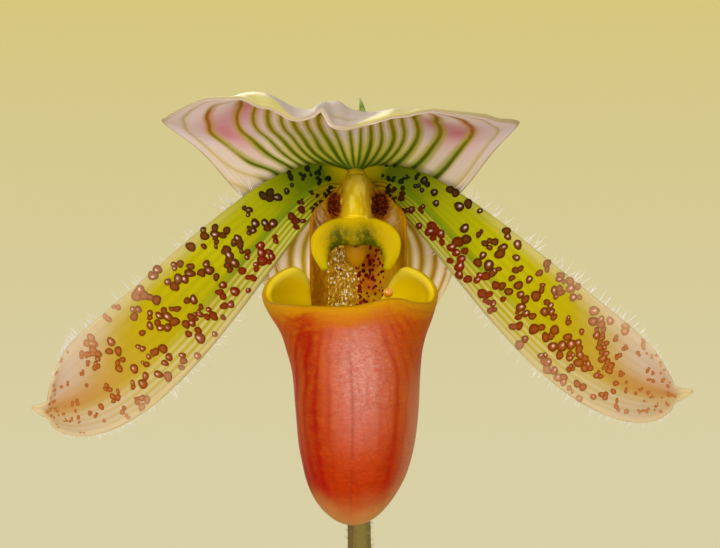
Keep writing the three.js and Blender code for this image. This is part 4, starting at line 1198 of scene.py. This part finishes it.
# Dew on the claw's left, dark red dots in loose rows on its right with a few on its left, velvet on the two
# dark patches by the column, and one drop.
def dressClaw():
    draw = np.random.default_rng(claw["seed"])
    count = claw["dew"]
    spots = onClaw(draw.normal(0.34, 0.19, count).clip(0.0, 0.66), draw.uniform(0.58, 0.88, count))
    size = draw.uniform(0.07, 0.22, count)
    long = size * draw.uniform(1, 1.7, count)
    makeStuds("slipperDew", spots, long, size, size * 1.1, 6, paintDew(), draw)
    across, rows = np.meshgrid(claw["dotsAcross"], np.linspace(*claw["dotRows"]))
    across, rows, count = across.ravel(), rows.ravel(), rows.size
    spots = onClaw(across + draw.normal(0, 0.035, count), rows + draw.normal(0, 0.009, count))
    size = draw.uniform(0.18, 0.34, count) * np.resize(claw["dotSizes"], count)
    dots = twoTone("dotPaint", 2, (62, 4, 0), (130, 18, 0), Roughness=0.35, Specular_IOR_Level=0.05)
    makeStuds("slipperDots", spots, size * 1.25, size, size * 0.35, 7, dots, draw)
    fuzz = claw["velvet"]
    side = np.where(draw.uniform(size=fuzz) < 0.5, -1, 1)
    turn = draw.uniform(0, 2 * np.pi, fuzz)
    far = np.sqrt(draw.uniform(0, 1.1, fuzz))
    along = 0.275 - 0.12 * far * np.sin(turn)
    width = clawSheet(np.zeros(fuzz), along)[1]
    x = side * (3.7 + 1.3 * far * np.cos(turn)) + np.where(side > 0, 0.3 + 0.45 * far * np.cos(turn), 0)
    roots = clawSheet(np.clip((0.4 - x) / width, -0.97, 0.97), along)[0]
    lean, sink = draw.normal(0, 0.4, fuzz), draw.normal(-0.2, 0.4, fuzz)
    aim = unit(stack(lean - side * 0.5, -1, sink))
    velvet = twoTone("velvetPaint", 0, (60, 10, 0), (112, 36, 8), Roughness=0.7)
    tufts = hairs(roots, aim, draw.uniform(0.5, 1.0, fuzz), 0.05, 0 * aim)
    piece("slipperVelvet", *tufts, velvet, "slipper")
    bead = twoTone("beadPaint", 2, (236, 150, 20), (220, 158, 30), (-1.0, 1.0), Roughness=0.12,
                   Coat_Weight=0.6, Subsurface_Weight=0.5, Subsurface_Scale=0.001)
    piece("slipperDrop", *ball(*claw["drop"]), bead, "slipper")


makeClaw()
dressClaw()
print("slipper made")

# The column: a pillar, the crescent shield, the stigma behind its notch and the anthers.
column = {
    "pillar": [[0.2, 0.6, -3.2], [0.2, -6, -2.2], [0.2, -12.5, -3.2], [0, -15.6, -9.2]],
    "pillarRadius": 2.1,
    # The shield's depth and height, and how far round its horns reach, in degrees.
    "y": -16.6,
    "low": -12.2,
    "horn": 128,
    # Centre and three radii of the stigma and of the right anther.
    "stigma": ([0, -13.2, -11.8], [1.95, 1.3, 4.3]),
    "anther": ([1.5, -9, -5.6], [1.1, 1.5, 1.0]),
}


def shieldSheet(u, v):
    angle = np.radians(column["horn"]) * u
    lobe = np.where(np.cos(angle) > 0, 4.1, 6.9)
    taper = clamp01((np.abs(u) - 0.8) / 0.2) ** 1.3
    outerX = np.sign(u) * (7.15 * np.abs(np.sin(angle)) ** 0.85 - 0.95 * taper)
    outerZ = column["low"] + lobe * np.cos(angle) - 0.3 * taper
    innerX = 4.6 * np.sin(np.pi / 2 * u)
    innerZ = -12.5 - 3.9 * np.abs(u) ** 3.2 - 0.5 * bump(u, 0, 0.1)
    bulge = 0.6 * np.sin(np.pi * v) * (1 - 0.5 * np.abs(u))
    return stack(mix(outerX, innerX, v), column["y"] - bulge + 1.6 * np.abs(u) ** 2, mix(outerZ, innerZ, v))


def makeColumn():
    def pillarRadius(t, angle):
        ends = bump(t, 0, 0.15) + bump(t, 1, 0.16)
        return column["pillarRadius"] + 0.5 * ends + 0.05 * np.cos(2 * angle)

    paint = Paint("pillarPaint", Roughness=0.35, Coat_Weight=0.1, **flesh)
    side, along = paint.field("chart")[:2]
    # Darker at its left and right sides, a painted shade, with streaks of painted highlight along it.
    shine = noise(paint.place(1400.0, 400.0, 400.0), 0.5, 2.0)
    colour = blend(side.peak(-0.1, 0.6), (166, 126, 0), (200, 172, 10))
    colour = blend(shine.rise(0.5, 0.7) * 0.5, colour, (232, 212, 96))
    paint.colour(colour)
    paint.relief(paint.grain(1.4, 1000.0, 300.0, 300.0), 0.08)
    piece("columnPillar", *tube(column["pillar"], pillarRadius, 36, 60), paint.material, "column", ["column"])
    u, v = np.meshgrid(crowded(1, -1, 121), crowded(0, 1, 51, 0.5))
    points = shieldSheet(u, v)
    edge = np.minimum(np.minimum(v, 1 - v) * 4.5, (1 - np.abs(u)) * 14)
    half = (0.4 + 0.25 * np.sin(np.pi * v)) * rounded(edge, 0.7)
    plate = Paint("shieldPaint", Roughness=0.5, **flesh)
    across, along = plate.field("chart")[:2]
    x, z = plate.field("spot")[:2]
    away = across.size()
    colour = blend(along.rise(0.0, 0.5), (186, 158, 0), (172, 142, 0))
    colour = blend(away.rise(0.35, 0.9) * 0.5, colour, (190, 172, 0))
    # Two dark green stains side by side, each broken up by a fine net, over the lower middle of the plate.
    lobe = (x + 2.6).peak(0.0, 1.9) * z.peak(-11.6, 2.1) + (x - 1.5).peak(0.0, 1.7) * z.peak(-11.5, 2.2)
    lobe = lobe + along.rise(0.6, 1.0) * x.size().peak(3.4, 1.6) * 0.8
    stain = noise(plate.place(1000.0, 1000.0, 600.0), 1.2, 3.0, 0.7).rise(0.25, 0.65)
    strands = net(plate.place(), 2.2, 0.3)
    colour = blend((lobe * (stain * 0.8 + 0.45)).math("MINIMUM", 1.0) * 0.95, colour, (62, 70, 0))
    colour = blend((lobe * strands).math("MINIMUM", 1.0) * 0.6, colour, (28, 38, 0))
    tooth = across.peak(0.0, 0.045) * along.rise(0.82, 0.95)
    plate.colour(blend(tooth, colour, (58, 26, 0)))
    plate.relief(plate.grain(0.8), 0.06)
    fields = {"chart": (u, v, None), "spot": (points[..., 0], points[..., 2], 0 * u)}
    piece("columnShield", *pillow(points, half, fields), plate.material, "column", ["column"])
    stigma = twoTone("stigmaPaint", 2, (166, 116, 0), (140, 86, 0), (-1.0, 0.4), Roughness=0.35, **flesh)
    piece("columnStigma", *ball(*column["stigma"]), stigma, "column", ["column"])
    anther = twoTone("antherPaint", 2, (160, 110, 10), (196, 158, 40), (-1.0, 1.0), Roughness=0.5, **flesh)
    (x, y, z), radii = column["anther"]
    anthers = together(*[ball([x * side, y, z], radii, 20, 10) for side in (-1, 1)])
    piece("columnAnthers", *anthers, anther, "column", ["column"])


makeColumn()
print("column made")

# The ovary with its six ribs, the bract at its foot and the stem; the ovary and the stem are downy.
ovaryCurve = [[0, 22, -37.7], [0, 22.4, -18], [0, 13, -4], [0, 3, -2.2]]


def ovaryRadius(t, angle):
    return (1.95 + 0.95 * np.sin(np.pi * clamp01(t * 1.05)) ** 0.8 + 0.3 * t) * (1 + 0.09 * np.cos(6 * angle))


def downOn(points, radiusAt, count, length, seed, low=0.02, high=0.97):
    draw = np.random.default_rng(seed)
    t, angle = draw.uniform(low, high, count), draw.uniform(0, 2 * np.pi, count)
    forward = tangentAt(points, t)
    side = unit(np.cross(forward, np.cross(np.array([1.0, 0, 0]), forward)))
    outward = side * np.cos(angle)[:, None] + np.cross(forward, side) * np.sin(angle)[:, None]
    roots = curveAt(points, t) + outward * (radiusAt(t, angle) - 0.05)[:, None]
    aim = unit(outward + forward * draw.normal(0.35, 0.25, (count, 1)) + draw.normal(0, 0.2, (count, 3)))
    return hairs(roots, aim, length * draw.uniform(0.5, 1.2, count), 0.045, 0.15 * forward)


def makeOvary():
    paint = Paint("ovaryPaint", Roughness=0.55, **flesh)
    along = paint.field("chart")[1]
    mottled = noise(paint.place(1000.0, 1000.0, 400.0), 0.6, 3.0)
    colour = blend(mottled.rise(0.35, 0.65), (112, 116, 44), (104, 74, 40))
    colour = blend(along.rise(0.75, 1.0), colour, (150, 140, 60))
    paint.colour(blend(1.0 - paint.place().part(1).rise(-18.0, -15.0), colour, (186, 160, 0)))
    paint.relief(paint.grain(0.9), 0.1)
    body = tube(ovaryCurve, ovaryRadius, 72, 90)
    piece("ovarySkin", *together(body, ball([0, 2.6, -2.4], [3.4, 2.7, 3])), paint.material, "ovary", ["ovary"])
    down = twoTone("downPaint", 1, (110, 60, 50), (190, 170, 150), Roughness=0.6)
    piece("ovaryDown", *downOn(ovaryCurve, ovaryRadius, 900, 0.75, 31), down, "ovary")
    return down


downMaterial = makeOvary()


bract = {
    "foot": -43,
    "length": 27,
    "behind": 22,
    "reach": 105,
    "thickness": 0.7,
}


# A blade rolled round the ovary's foot. At its base it reaches round by so many degrees on each side, and it
# closes in towards its tip.
def makeBract():
    u, v = np.meshgrid(crowded(-1, 1, 61), crowded(0, 1, 71))
    spread = np.radians(bract["reach"]) * np.sqrt(np.maximum(0, 1 - v**2.2)) + 0.03
    radius = 2.75 + 2.2 * smooth(0, 0.5, v)
    y = bract["behind"] - 3.2 * smooth(0.35, 1, v) + radius * np.cos(u * spread)
    points = stack(radius * np.sin(u * spread), y, bract["foot"] + bract["length"] * v)
    fromEnds = bract["length"] * np.minimum(v, 1 - v) + 0.3
    half = bract["thickness"] / 2 * rounded(np.minimum((1 - np.abs(u)) * spread * radius, fromEnds), 0.4)
    paint = Paint("bractPaint", Roughness=0.5, **flesh)
    across = paint.field("chart")[0]
    lines = vein(across * 4.0, 1.2, 0.3, 0.2)
    speckle = noise(paint.place(), 1.2, 3.0).rise(0.58, 0.66)
    colour = blend(lines * 0.5, (132, 138, 56), (98, 110, 36))
    colour = blend(speckle * 0.7, colour, (96, 48, 34))
    paint.colour(blend(across.size().rise(0.85, 1.0), colour, (186, 178, 116)))
    paint.relief(lines * -1.0, 0.12)
    piece("bractSkin", *pillow(points, half, {"chart": (u, v, None)}), paint.material, "ovary", ["bract"])


makeBract()

stemCurve = [[0, 4, 97], [-1.5, 4, 154.75], [2, 4, 212.5], [0, 4, 262]]


def stemRadius(t, angle):
    return mix(2.5, 1.9, t) + 0.06 * np.sin(3 * angle + 5 * t)


def makeStem():
    paint = Paint("stemPaint", Roughness=0.5, **flesh)
    along = paint.field("chart")[1]
    streaks = noise(paint.place(1000.0, 1000.0, 60.0), 0.9, 3.0)
    colour = blend(along, (96, 112, 44), (108, 92, 46))
    colour = blend(streaks.rise(0.45, 0.65) * 0.7, colour, (84, 48, 36))
    paint.colour(colour)
    paint.relief(streaks, 0.15)
    body = tube(stemCurve, stemRadius, 32, 160)
    piece("stemSkin", *body, paint.material, "stem", ["flower_stem"], offset=table)
    down = downOn(stemCurve, stemRadius, 2600, 0.85, 37)
    piece("stemDown", *down, downMaterial, "stem", offset=table)


makeStem()
print("stem made")

# Strap leaves: folded blades that climb from the crown, arch over and hang at the tip.
crown = {"x": 0, "y": 4}
leaves = [
    ("leaf_1", 4, 150, 171, 132, 118, 19, 84, 7),
    ("leaf_2", 183, 148, 164, 128, 108, 19.5, 84, 7),
    ("leaf_3", -24, 172, 205, 96, 172, 18, 92, 5.5),
    ("leaf_4", 158, 170, 198, 104, 160, 18.5, 92, 5.5),
    ("leaf_5", 34, 165, 215, 52, 214, 14.5, 99, 4),
    ("leaf_6", 212, 160, 205, 44, 203, 13, 99, 4),
]


def paintLeaf():
    paint = Paint("leafPaint", Roughness=0.38, Coat_Weight=0.15, Subsurface_Weight=0.1,
                  Subsurface_Radius=(0.6, 1.0, 0.3), Subsurface_Scale=0.001)
    u, v, face = paint.field("chart")
    x, y, pick = paint.field("span")
    combine = paint.tree.nodes.new("ShaderNodeCombineXYZ")
    for socket, wire in zip(combine.inputs, (x, y * 0.55, pick)):
        feed(paint.tree, socket, wire)
    flat = Wire(paint.tree, combine.outputs[0])
    broad = noise(flat, 0.16, 2.0, 0.5)
    blocks = cells(flat, 0.2, "SMOOTH_F1", 0.9) + (noise(flat, 0.5, 2.0) - 0.5) * 0.35
    dark = blocks.rise(0.3, 0.62) * (broad * 0.6 + 0.6)
    top = blend(dark, (142, 164, 104), (44, 84, 34))
    top = blend(noise(flat, 1.1, 4.0, 0.7).rise(0.52, 0.62) * 0.35, top, (104, 138, 76))
    lines = vein(u * 9.0, 2.0, 0.35, 0.3)
    top = blend(lines * 0.22, top, (50, 86, 36))
    top = blend(u.peak(0.0, 0.03) * 0.7, top, (120, 148, 84))
    top = blend(1.0 - v.rise(0.0, 0.16), top, (150, 158, 84))
    under = blend(noise(flat, 0.2, 2.0), (112, 138, 78), (94, 120, 66))
    under = blend((1.0 - v.rise(0.1, 0.45)) * noise(flat, 1.4, 3.0).rise(0.45, 0.6) * 0.7, under, (98, 50, 58))
    colour = blend(face * 0.5 + 0.5, top, under)
    paint.colour(blend(u.size().rise(0.955, 1.0), colour, (140, 156, 96)))
    paint.relief(noise(flat, 0.9, 3.0) - lines * 0.4, 0.3)
    return paint.material


def makeLeaves():
    material = paintLeaf()
    for k, (name, azimuth, rise, peak, reach, tip, wide, foot, out) in enumerate(leaves):
        turn = math.radians(azimuth)

        def at(radius, z):
            return [crown["x"] + radius * math.cos(turn), crown["y"] + radius * math.sin(turn), z]

        axis = [at(out, foot), at(out + 0.14 * reach, rise), at(0.62 * reach, peak + 12), at(reach, tip)]
        across = np.array([-math.sin(turn), math.cos(turn), 0])
        u, v = np.meshgrid(crowded(-1, 1, 41), crowded(0, 1, 151, 0.4))
        upward = np.cross(across, tangentAt(axis, v))
        width = mix(6.5, wide, smooth(0, 0.42, v)) * np.sqrt(np.maximum(0, 1 - v**7)) + 0.5
        fold = np.radians(mix(58, 14, smooth(0, 0.3, v)) - 32 * smooth(0.3, 0.6, v))
        soft = np.sqrt(u**2 + 0.0025) - 0.05
        wave = 0.7 * np.sin(9 * v + 2 * u) * np.abs(u) * smooth(0.2, 0.6, v)
        points = curveAt(axis, v) + across * (u * width * np.cos(fold))[..., None]
        points = points + upward * (soft * width * np.sin(fold) + wave)[..., None]
        long = np.cumsum(np.r_[0, lengthOf(np.diff(points[:, 20], axis=0))[:, 0]])[:, None] + 0 * u
        edge = np.minimum((1 - np.abs(u)) * width, 1.2 * (long[-1] - long))
        half = (mix(1.7, 0.8, u**2) - 0.15 * v) / 2 * rounded(edge, 0.8)
        fields = {"chart": (u, v, None), "span": (u * width, long, 0 * u + 9 * k)}
        piece(name + "_skin", *pillow(points, half, fields), material, "leaf", [name], offset=table)


makeLeaves()
print("leaves made")


pot = {
    "foot": 38,
    "shoulder": 54.8,
    "wall": 4,
    "sides": 144,
    # Radius and height of each corner of the rim's outline, up the outside and down the inside.
    "rim": [(55.6, 76.6), (57.2, 77.2), (58, 78.5), (58.55, 96.5), (58.35, 98.6), (57.4, 99.7), (55.6, 100),
            (52.6, 99.8), (51.2, 99), (50.8, 97)],
    "drainsAt": 19,
    "drain": 5,
}


# The pot: its profile turned round the upright axis, with drain holes cut in the floor.
def makePot():
    def outer(z):
        return mix(pot["foot"], pot["shoulder"], z / 77)

    def inner(z):
        return min(outer(z), pot["shoulder"]) - pot["wall"]

    corners = [(0, 0), (35.4, 0), (37.2, 0.5), (38, 2), (outer(77) - 0.4, 76), *pot["rim"],
               (inner(77), 77), (inner(6), 6), (0, 6)]
    path = np.array(corners, float)
    lengths = np.hypot(*np.diff(path, axis=0).T)
    dense = [path[:1]]
    for a, b, far in zip(path[:-1], path[1:], lengths):
        count = max(1, int(far / 2.5))
        dense.append(a + (b - a) * (np.arange(1, count + 1) / count)[:, None])
    body = np.concatenate(dense)[1:-1]
    angle = np.linspace(0, 2 * np.pi, pot["sides"], endpoint=False)
    radius = body[:, :1] * (1 + 0.0012 * np.sin(3 * angle + 0.05 * body[:, 1:]))
    rings = stack(radius * np.cos(angle), radius * np.sin(angle), body[:, 1:] + 0 * angle)
    vertices, faces = capped(rings, np.array([[0, 0, 0], [0, 0, 6]]))
    paint = Paint("clayPaint", Roughness=0.85)
    place = paint.place()
    z = place.part(2)
    broad = noise(place, 0.035, 4.0)
    grain = noise(place, 0.9, 5.0, 0.7)
    clay = blend(broad.rise(0.3, 0.7), (178, 98, 62), (196, 118, 78))
    clay = blend(grain.rise(0.5, 0.75) * 0.35, clay, (150, 78, 48))
    # Darker towards the bottom.
    darkerLow = (1.0 - z.rise(4.0, 34.0)) * (broad * 0.8 + 0.3)
    clay = blend(darkerLow * 0.6, clay, (132, 72, 46))
    bloom = noise(place, 0.07, 5.0, 0.65).rise(0.55, 0.72) * (z.rise(20.0, 60.0) * 0.6 + 0.25)
    paint.colour(blend(bloom * 0.45, clay, (218, 190, 166)))
    turned = noise(paint.place(60.0, 60.0, 1000.0), 0.5, 3.0)
    paint.relief(grain * 0.5 + turned * 0.5, 0.35)
    skin = piece("potSkin", vertices, faces, {}, paint.material, "terracotta", ["pot"], offset=table)
    turnAt = [math.pi / 4 + k * math.pi / 2 for k in range(4)]
    out = pot["drainsAt"]
    cutters = [tube([[out * math.cos(a), out * math.sin(a), -12 + 8 * k] for k in range(4)],
                    lambda t, b: pot["drain"] + 0 * t * b, 32, 3) for a in turnAt]
    points, groups = together(*cutters)[:2]
    mesh = bpy.data.meshes.new("drainCutter")
    mesh.from_pydata((points / 1000).tolist(), [], [list(f) for g in groups for f in g.tolist()])
    cutter = linked("drainCutter", mesh)
    bpy.context.view_layer.objects.active = skin
    cut = skin.modifiers.new("drains", "BOOLEAN")
    cut.object = cutter
    cut.operation = "DIFFERENCE"
    cut.solver = "EXACT"
    bpy.ops.object.modifier_apply(modifier=cut.name)
    bpy.data.objects.remove(cutter)
    bpy.data.meshes.remove(mesh)


makePot()
print("pot made")


bark = {
    "level": 84,
    "size": (14.5, 9, 4.4),
    "chips": 36,
    "small": 150,
    # Tufts of moss: distance from the pot's middle and degrees round it, and the wisps in each.
    "tufts": [(30, 60), (36, 150), (34, 250), (24, 310), (38, 20), (40, 200)],
    "wisps": 150,
}


# Bark chips: blocks with uneven corners, split finely, softened at their edges and roughened along the grain.
def makeBark():
    state = [5 * 2654435761 % 2**32]

    def draw():
        state[0] = (state[0] * 1664525 + 1013904223) % 2**32
        return state[0] / 2**32

    n = 7
    s = crowded(-1, 1, n, 0.8)
    a, b = np.meshgrid(s, s)
    one = np.ones_like(a)
    walls = [(a, b, one), (b, a, -one), (one, a, b), (-one, b, a), (b, one, a), (a, -one, b)]
    cube = np.concatenate([stack(*w).reshape(-1, 3) for w in walls])
    cube, weld = np.unique(np.round(cube, 6), axis=0, return_inverse=True)
    weld = weld.ravel()
    quads = np.concatenate([weld[quadsOf(grid)] for grid in np.arange(6 * n * n).reshape(6, n, n)])
    softened = cube / (np.abs(cube) ** 7).sum(-1, keepdims=True) ** (1 / 7)

    def chip(size, corners, turn, spot, shift):
        weights = (1 + softened[:, None] * signs) / 2
        shape = (weights.prod(-1)[..., None] * (signs * size / 2 * corners)).sum(1)
        grain = wander(shape * np.array([0.35, 1, 1]), 1.4, shift) * 0.35 + wander(shape, 0.9, 2 * shift) * 0.16
        shape = shape * (1 + grain[:, None] * np.array([0.03, 0.09, 0.16]))
        matrix = np.array(turn)
        return shape @ matrix.T + spot

    signs = np.array([[x, y, z] for x in (1, -1) for y in (1, -1) for z in (1, -1)], float)
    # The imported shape's corner order: +x before -x, +y before -y, and each block's own draws follow it.
    order = [(1, 1, 1), (1, 1, -1), (1, -1, 1), (1, -1, -1), (-1, 1, -1), (-1, 1, 1), (-1, -1, -1), (-1, -1, 1)]
    reach = 50.4 - 0.8 * bark["size"][0]
    parts = []
    golden = math.pi * (3 - math.sqrt(5))
    count = bark["chips"]
    for k in range(count):
        radius, angle = reach * math.sqrt((k + 3) / (count + 3)), k * golden
        z = bark["level"] + mix(-0.4, 1.6, draw())
        size = np.array([mean * mix(0.7, most, draw()) for mean, most in zip(bark["size"], (1.35, 1.3, 1.4))])
        pulls = {}
        for corner in order:
            pulls[corner] = [mix(0.75, 1.1, draw()), mix(0.75, 1.1, draw()), mix(0.8, 1.1, draw())]
        tilt = [mix(-0.45, 0.45, draw()), mix(-0.4, 0.4, draw()), 2 * math.pi * draw()]
        corners = np.array([pulls[tuple(int(c) for c in row)] for row in signs])
        spot = np.array([radius * math.cos(angle), radius * math.sin(angle), z])
        parts.append((size, corners, tilt, spot))
    rng = np.random.default_rng(8)
    for k in range(bark["small"]):
        radius, angle = 47.5 * math.sqrt(rng.uniform(0.06, 0.93)), rng.uniform(0, 2 * math.pi)
        size = np.array([rng.uniform(6, 11), rng.uniform(4, 7), rng.uniform(2, 3.6)])
        tilt = [rng.normal(0, 0.35), rng.normal(0, 0.35), rng.uniform(0, 6.28)]
        z = bark["level"] + rng.uniform(-0.5, 1.3)
        spot = np.array([radius * math.cos(angle), radius * math.sin(angle), z])
        if radius > 42:
            spot[:2] *= 42 / radius
        parts.append((size, rng.uniform(0.75, 1.1, (8, 3)), tilt, spot))
    meshes = []
    for k, (size, corners, tilt, spot) in enumerate(parts):
        x, y, z = tilt
        rows = Euler((x, 0, 0)).to_matrix() @ Euler((0, y, 0)).to_matrix() @ Euler((0, 0, z)).to_matrix()
        shape = chip(size, corners, rows, spot, 1.7 * k)
        local = stack(softened[:, 0], softened[:, 2], k * 0.618 % 1)
        meshes.append((shape, [quads], {"chart": local}))
    paint = Paint("barkPaint", Roughness=0.9)
    pick = paint.field("chart")[2]
    place = paint.place()
    fibre = noise(place, 0.35, 5.0, 0.7)
    flakes = cells(place, 0.22, "F1")
    colour = stops(pick, (0.0, (92, 58, 36)), (0.35, (124, 80, 50)), (0.6, (74, 46, 30)), (0.8, (142, 98, 64)),
                   (1.0, (104, 66, 42)))
    colour = blend(fibre.rise(0.4, 0.65) * 0.6, colour, (54, 34, 24))
    colour = blend(flakes.rise(0.3, 0.8) * 0.35, colour, (158, 120, 86))
    paint.colour(colour)
    paint.relief(fibre + flakes * 0.6, 0.9)
    piece("barkChips", *together(*meshes), paint.material, "bark", offset=table)
    # The mix under the chips: a disc that fills the pot, rough on top.
    ring = np.concatenate([np.linspace(0.5, 44.4, 36), [47.5, 49.4, 49.9]])
    drop = np.concatenate([np.zeros(36), [0.5, 1.4, 4]])
    angle = np.linspace(0, 2 * np.pi, 120, endpoint=False)
    flat = stack(ring[:, None] * np.cos(angle), ring[:, None] * np.sin(angle), (84 - drop)[:, None] + 0 * angle)
    flat[..., 2] += (wander(flat, 3.0) * 0.9 - 1.0) * smooth(49.5, 46, ring)[:, None]
    wall = np.array([[50.2, 77], [36.2, 9], [35.4, 6.3]])
    sides = stack(wall[:, :1] * np.cos(angle), wall[:, :1] * np.sin(angle), wall[:, 1:] + 0 * angle)
    rings = np.concatenate([flat, sides])
    vertices, faces = capped(rings, np.array([[0, 0, 83.2], [0, 0, 6.3]]), True)
    fields = {"chart": stack(0 * vertices[:, 0], 0 * vertices[:, 0], 0.55)}
    piece("barkBed", vertices, faces, fields, paint.material, "bark", ["potting_bark"], offset=table)
    # Wisps of moss in a few tufts among the chips.
    roots, aims, longs = [], [], []
    for radius, degrees in bark["tufts"]:
        turn = math.radians(degrees)
        middle = np.array([radius * math.cos(turn), radius * math.sin(turn), 85.2])
        count = bark["wisps"]
        shift = rng.normal(0, 2.6, (count, 3)) * np.array([1, 1, 0.15])
        roots.append(middle + shift)
        aims.append(unit(shift * 0.25 + np.array([0, 0, 1.0]) + rng.normal(0, 0.4, (count, 3))))
        longs.append(rng.uniform(1.5, 4.2, count))
    roots, aims, longs = (np.concatenate(k) for k in (roots, aims, longs))
    moss = twoTone("mossPaint", 1, (98, 116, 34), (146, 150, 60), Roughness=0.7)
    sway = [rng.normal(0, 0.3, len(roots)) for k in range(2)]
    piece("mossTufts", *hairs(roots, aims, longs, 0.22, stack(*sway, -0.2)), moss, "bark", offset=table)


makeBark()


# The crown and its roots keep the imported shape, with a papery skin painted on.
def dressCrown():
    paint = Paint("crownPaint", Roughness=0.7)
    place = paint.place()
    z = place.part(2)
    fibre = noise(paint.place(1000.0, 1000.0, 160.0), 0.6, 4.0)
    colour = blend(z.rise(84.0, 102.0), (140, 104, 66), (146, 154, 84))
    paint.colour(blend(fibre.rise(0.4, 0.62) * 0.5, colour, (104, 78, 46)))
    paint.relief(fibre, 0.4)
    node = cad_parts["crown_roots"]
    node.data.materials.clear()
    node.data.materials.append(paint.material)


dressCrown()
print("bark, moss and crown made")


stage = {
    "floor": 2.25,
    "light": (250, 247, 240),
    "strength": 0.66,
    "camera": (0.00066, -0.468, 0.2828),
    # Millimetres from the camera back to the hub, and what one pixel of the picture covers there.
    "distance": 450,
    "pixel": 0.165,
    "shades": [(0.08, (218, 208, 167)), (0.3, (216, 206, 162)), (0.5, (215, 203, 152)),
               (0.7, (214, 201, 143)), (0.86, (215, 200, 133)), (0.97, (216, 199, 122))],
    # Each lamp's name, place, aim, size, power and tint.
    "lamps": [
        ("keyLamp", (-0.4, -0.85, 0.5), (0, -0.03, 0.28), 0.45, 3.6, (1.0, 0.97, 0.92)),
        ("fillLamp", (0.45, -0.8, 0.14), (0, -0.03, 0.28), 0.6, 3.2, (1.0, 0.98, 0.96)),
        ("lowLamp", (-0.12, -0.62, 0.05), (0, -0.03, 0.3), 0.3, 2.3, (1.0, 0.97, 0.96)),
        ("sparkLamp", (-0.2, -0.8, 0.42), (0, -0.03, 0.28), 0.04, 0.35, (1.0, 1.0, 1.0)),
        ("topLamp", (0.05, -0.1, 0.85), (0, -0.05, 0.3), 0.3, 0.9, (1.0, 0.98, 0.93)),
        ("backLamp", (-0.2, 0.6, 0.55), (0, -0.03, 0.29), 0.4, 2.0, (1.0, 0.95, 0.85)),
    ],
}


# The stage: a pale floor disc, a pale yellow surround that only fills the background, and soft lamps.
def makeStage():
    sides = 96
    angle = np.linspace(0, 2 * np.pi, sides, endpoint=False)
    mesh = bpy.data.meshes.new("floor")
    disc = [(stage["floor"] * math.cos(a), stage["floor"] * math.sin(a), 0.0) for a in angle]
    mesh.from_pydata(disc, [], [list(range(sides))])
    floor = linked("floor", mesh)
    paint = Paint("floorPaint", Roughness=0.8)
    paint.colour(blend(noise(paint.place(), 0.004, 2.0), (214, 204, 160), (208, 198, 156)))
    mesh.materials.append(paint.material)

    world = bpy.data.worlds.new("surround")
    bpy.context.scene.world = world
    world.use_nodes = True
    tree = world.node_tree
    tree.nodes.clear()
    output = tree.nodes.new("ShaderNodeOutputWorld")
    seen, lit = tree.nodes.new("ShaderNodeBackground"), tree.nodes.new("ShaderNodeBackground")
    choose = tree.nodes.new("ShaderNodeMixShader")
    ray = tree.nodes.new("ShaderNodeLightPath")
    where = Wire(tree, tree.nodes.new("ShaderNodeTexCoord").outputs["Generated"])
    up = where.part(2)
    level = up * 4.5 + 0.5
    feed(tree, seen.inputs["Color"], stops(level, *stage["shades"]))
    feed(tree, lit.inputs["Color"], stage["light"])
    lit.inputs["Strength"].default_value = stage["strength"]
    tree.links.new(ray.outputs["Is Camera Ray"], choose.inputs[0])
    tree.links.new(lit.outputs[0], choose.inputs[1])
    tree.links.new(seen.outputs[0], choose.inputs[2])
    tree.links.new(choose.outputs[0], output.inputs["Surface"])

    for name, spot, aim, size, power, tint in stage["lamps"]:
        lamp = bpy.data.lights.new(name, "AREA")
        lamp.shape = "DISK"
        lamp.size = size
        lamp.energy = power
        lamp.color = tint
        holder = linked(name, lamp)
        holder.location = spot
        direction = np.array(aim) - np.array(spot)
        holder.rotation_euler = Vector(direction).to_track_quat("-Z", "Y").to_euler()

    camera = bpy.data.cameras.new("camera")
    camera.sensor_width = 36
    camera.lens = stage["distance"] / stage["pixel"] * camera.sensor_width / 720
    camera.clip_start = 0.01
    camera.clip_end = 20
    holder = linked("camera", camera)
    holder.location = stage["camera"]
    holder.rotation_euler = (math.pi / 2, 0, 0)
    bpy.context.scene.camera = holder
    bpy.context.scene.view_settings.view_transform = "Standard"
    bpy.context.scene.view_settings.look = "None"


makeStage()
print("stage made")
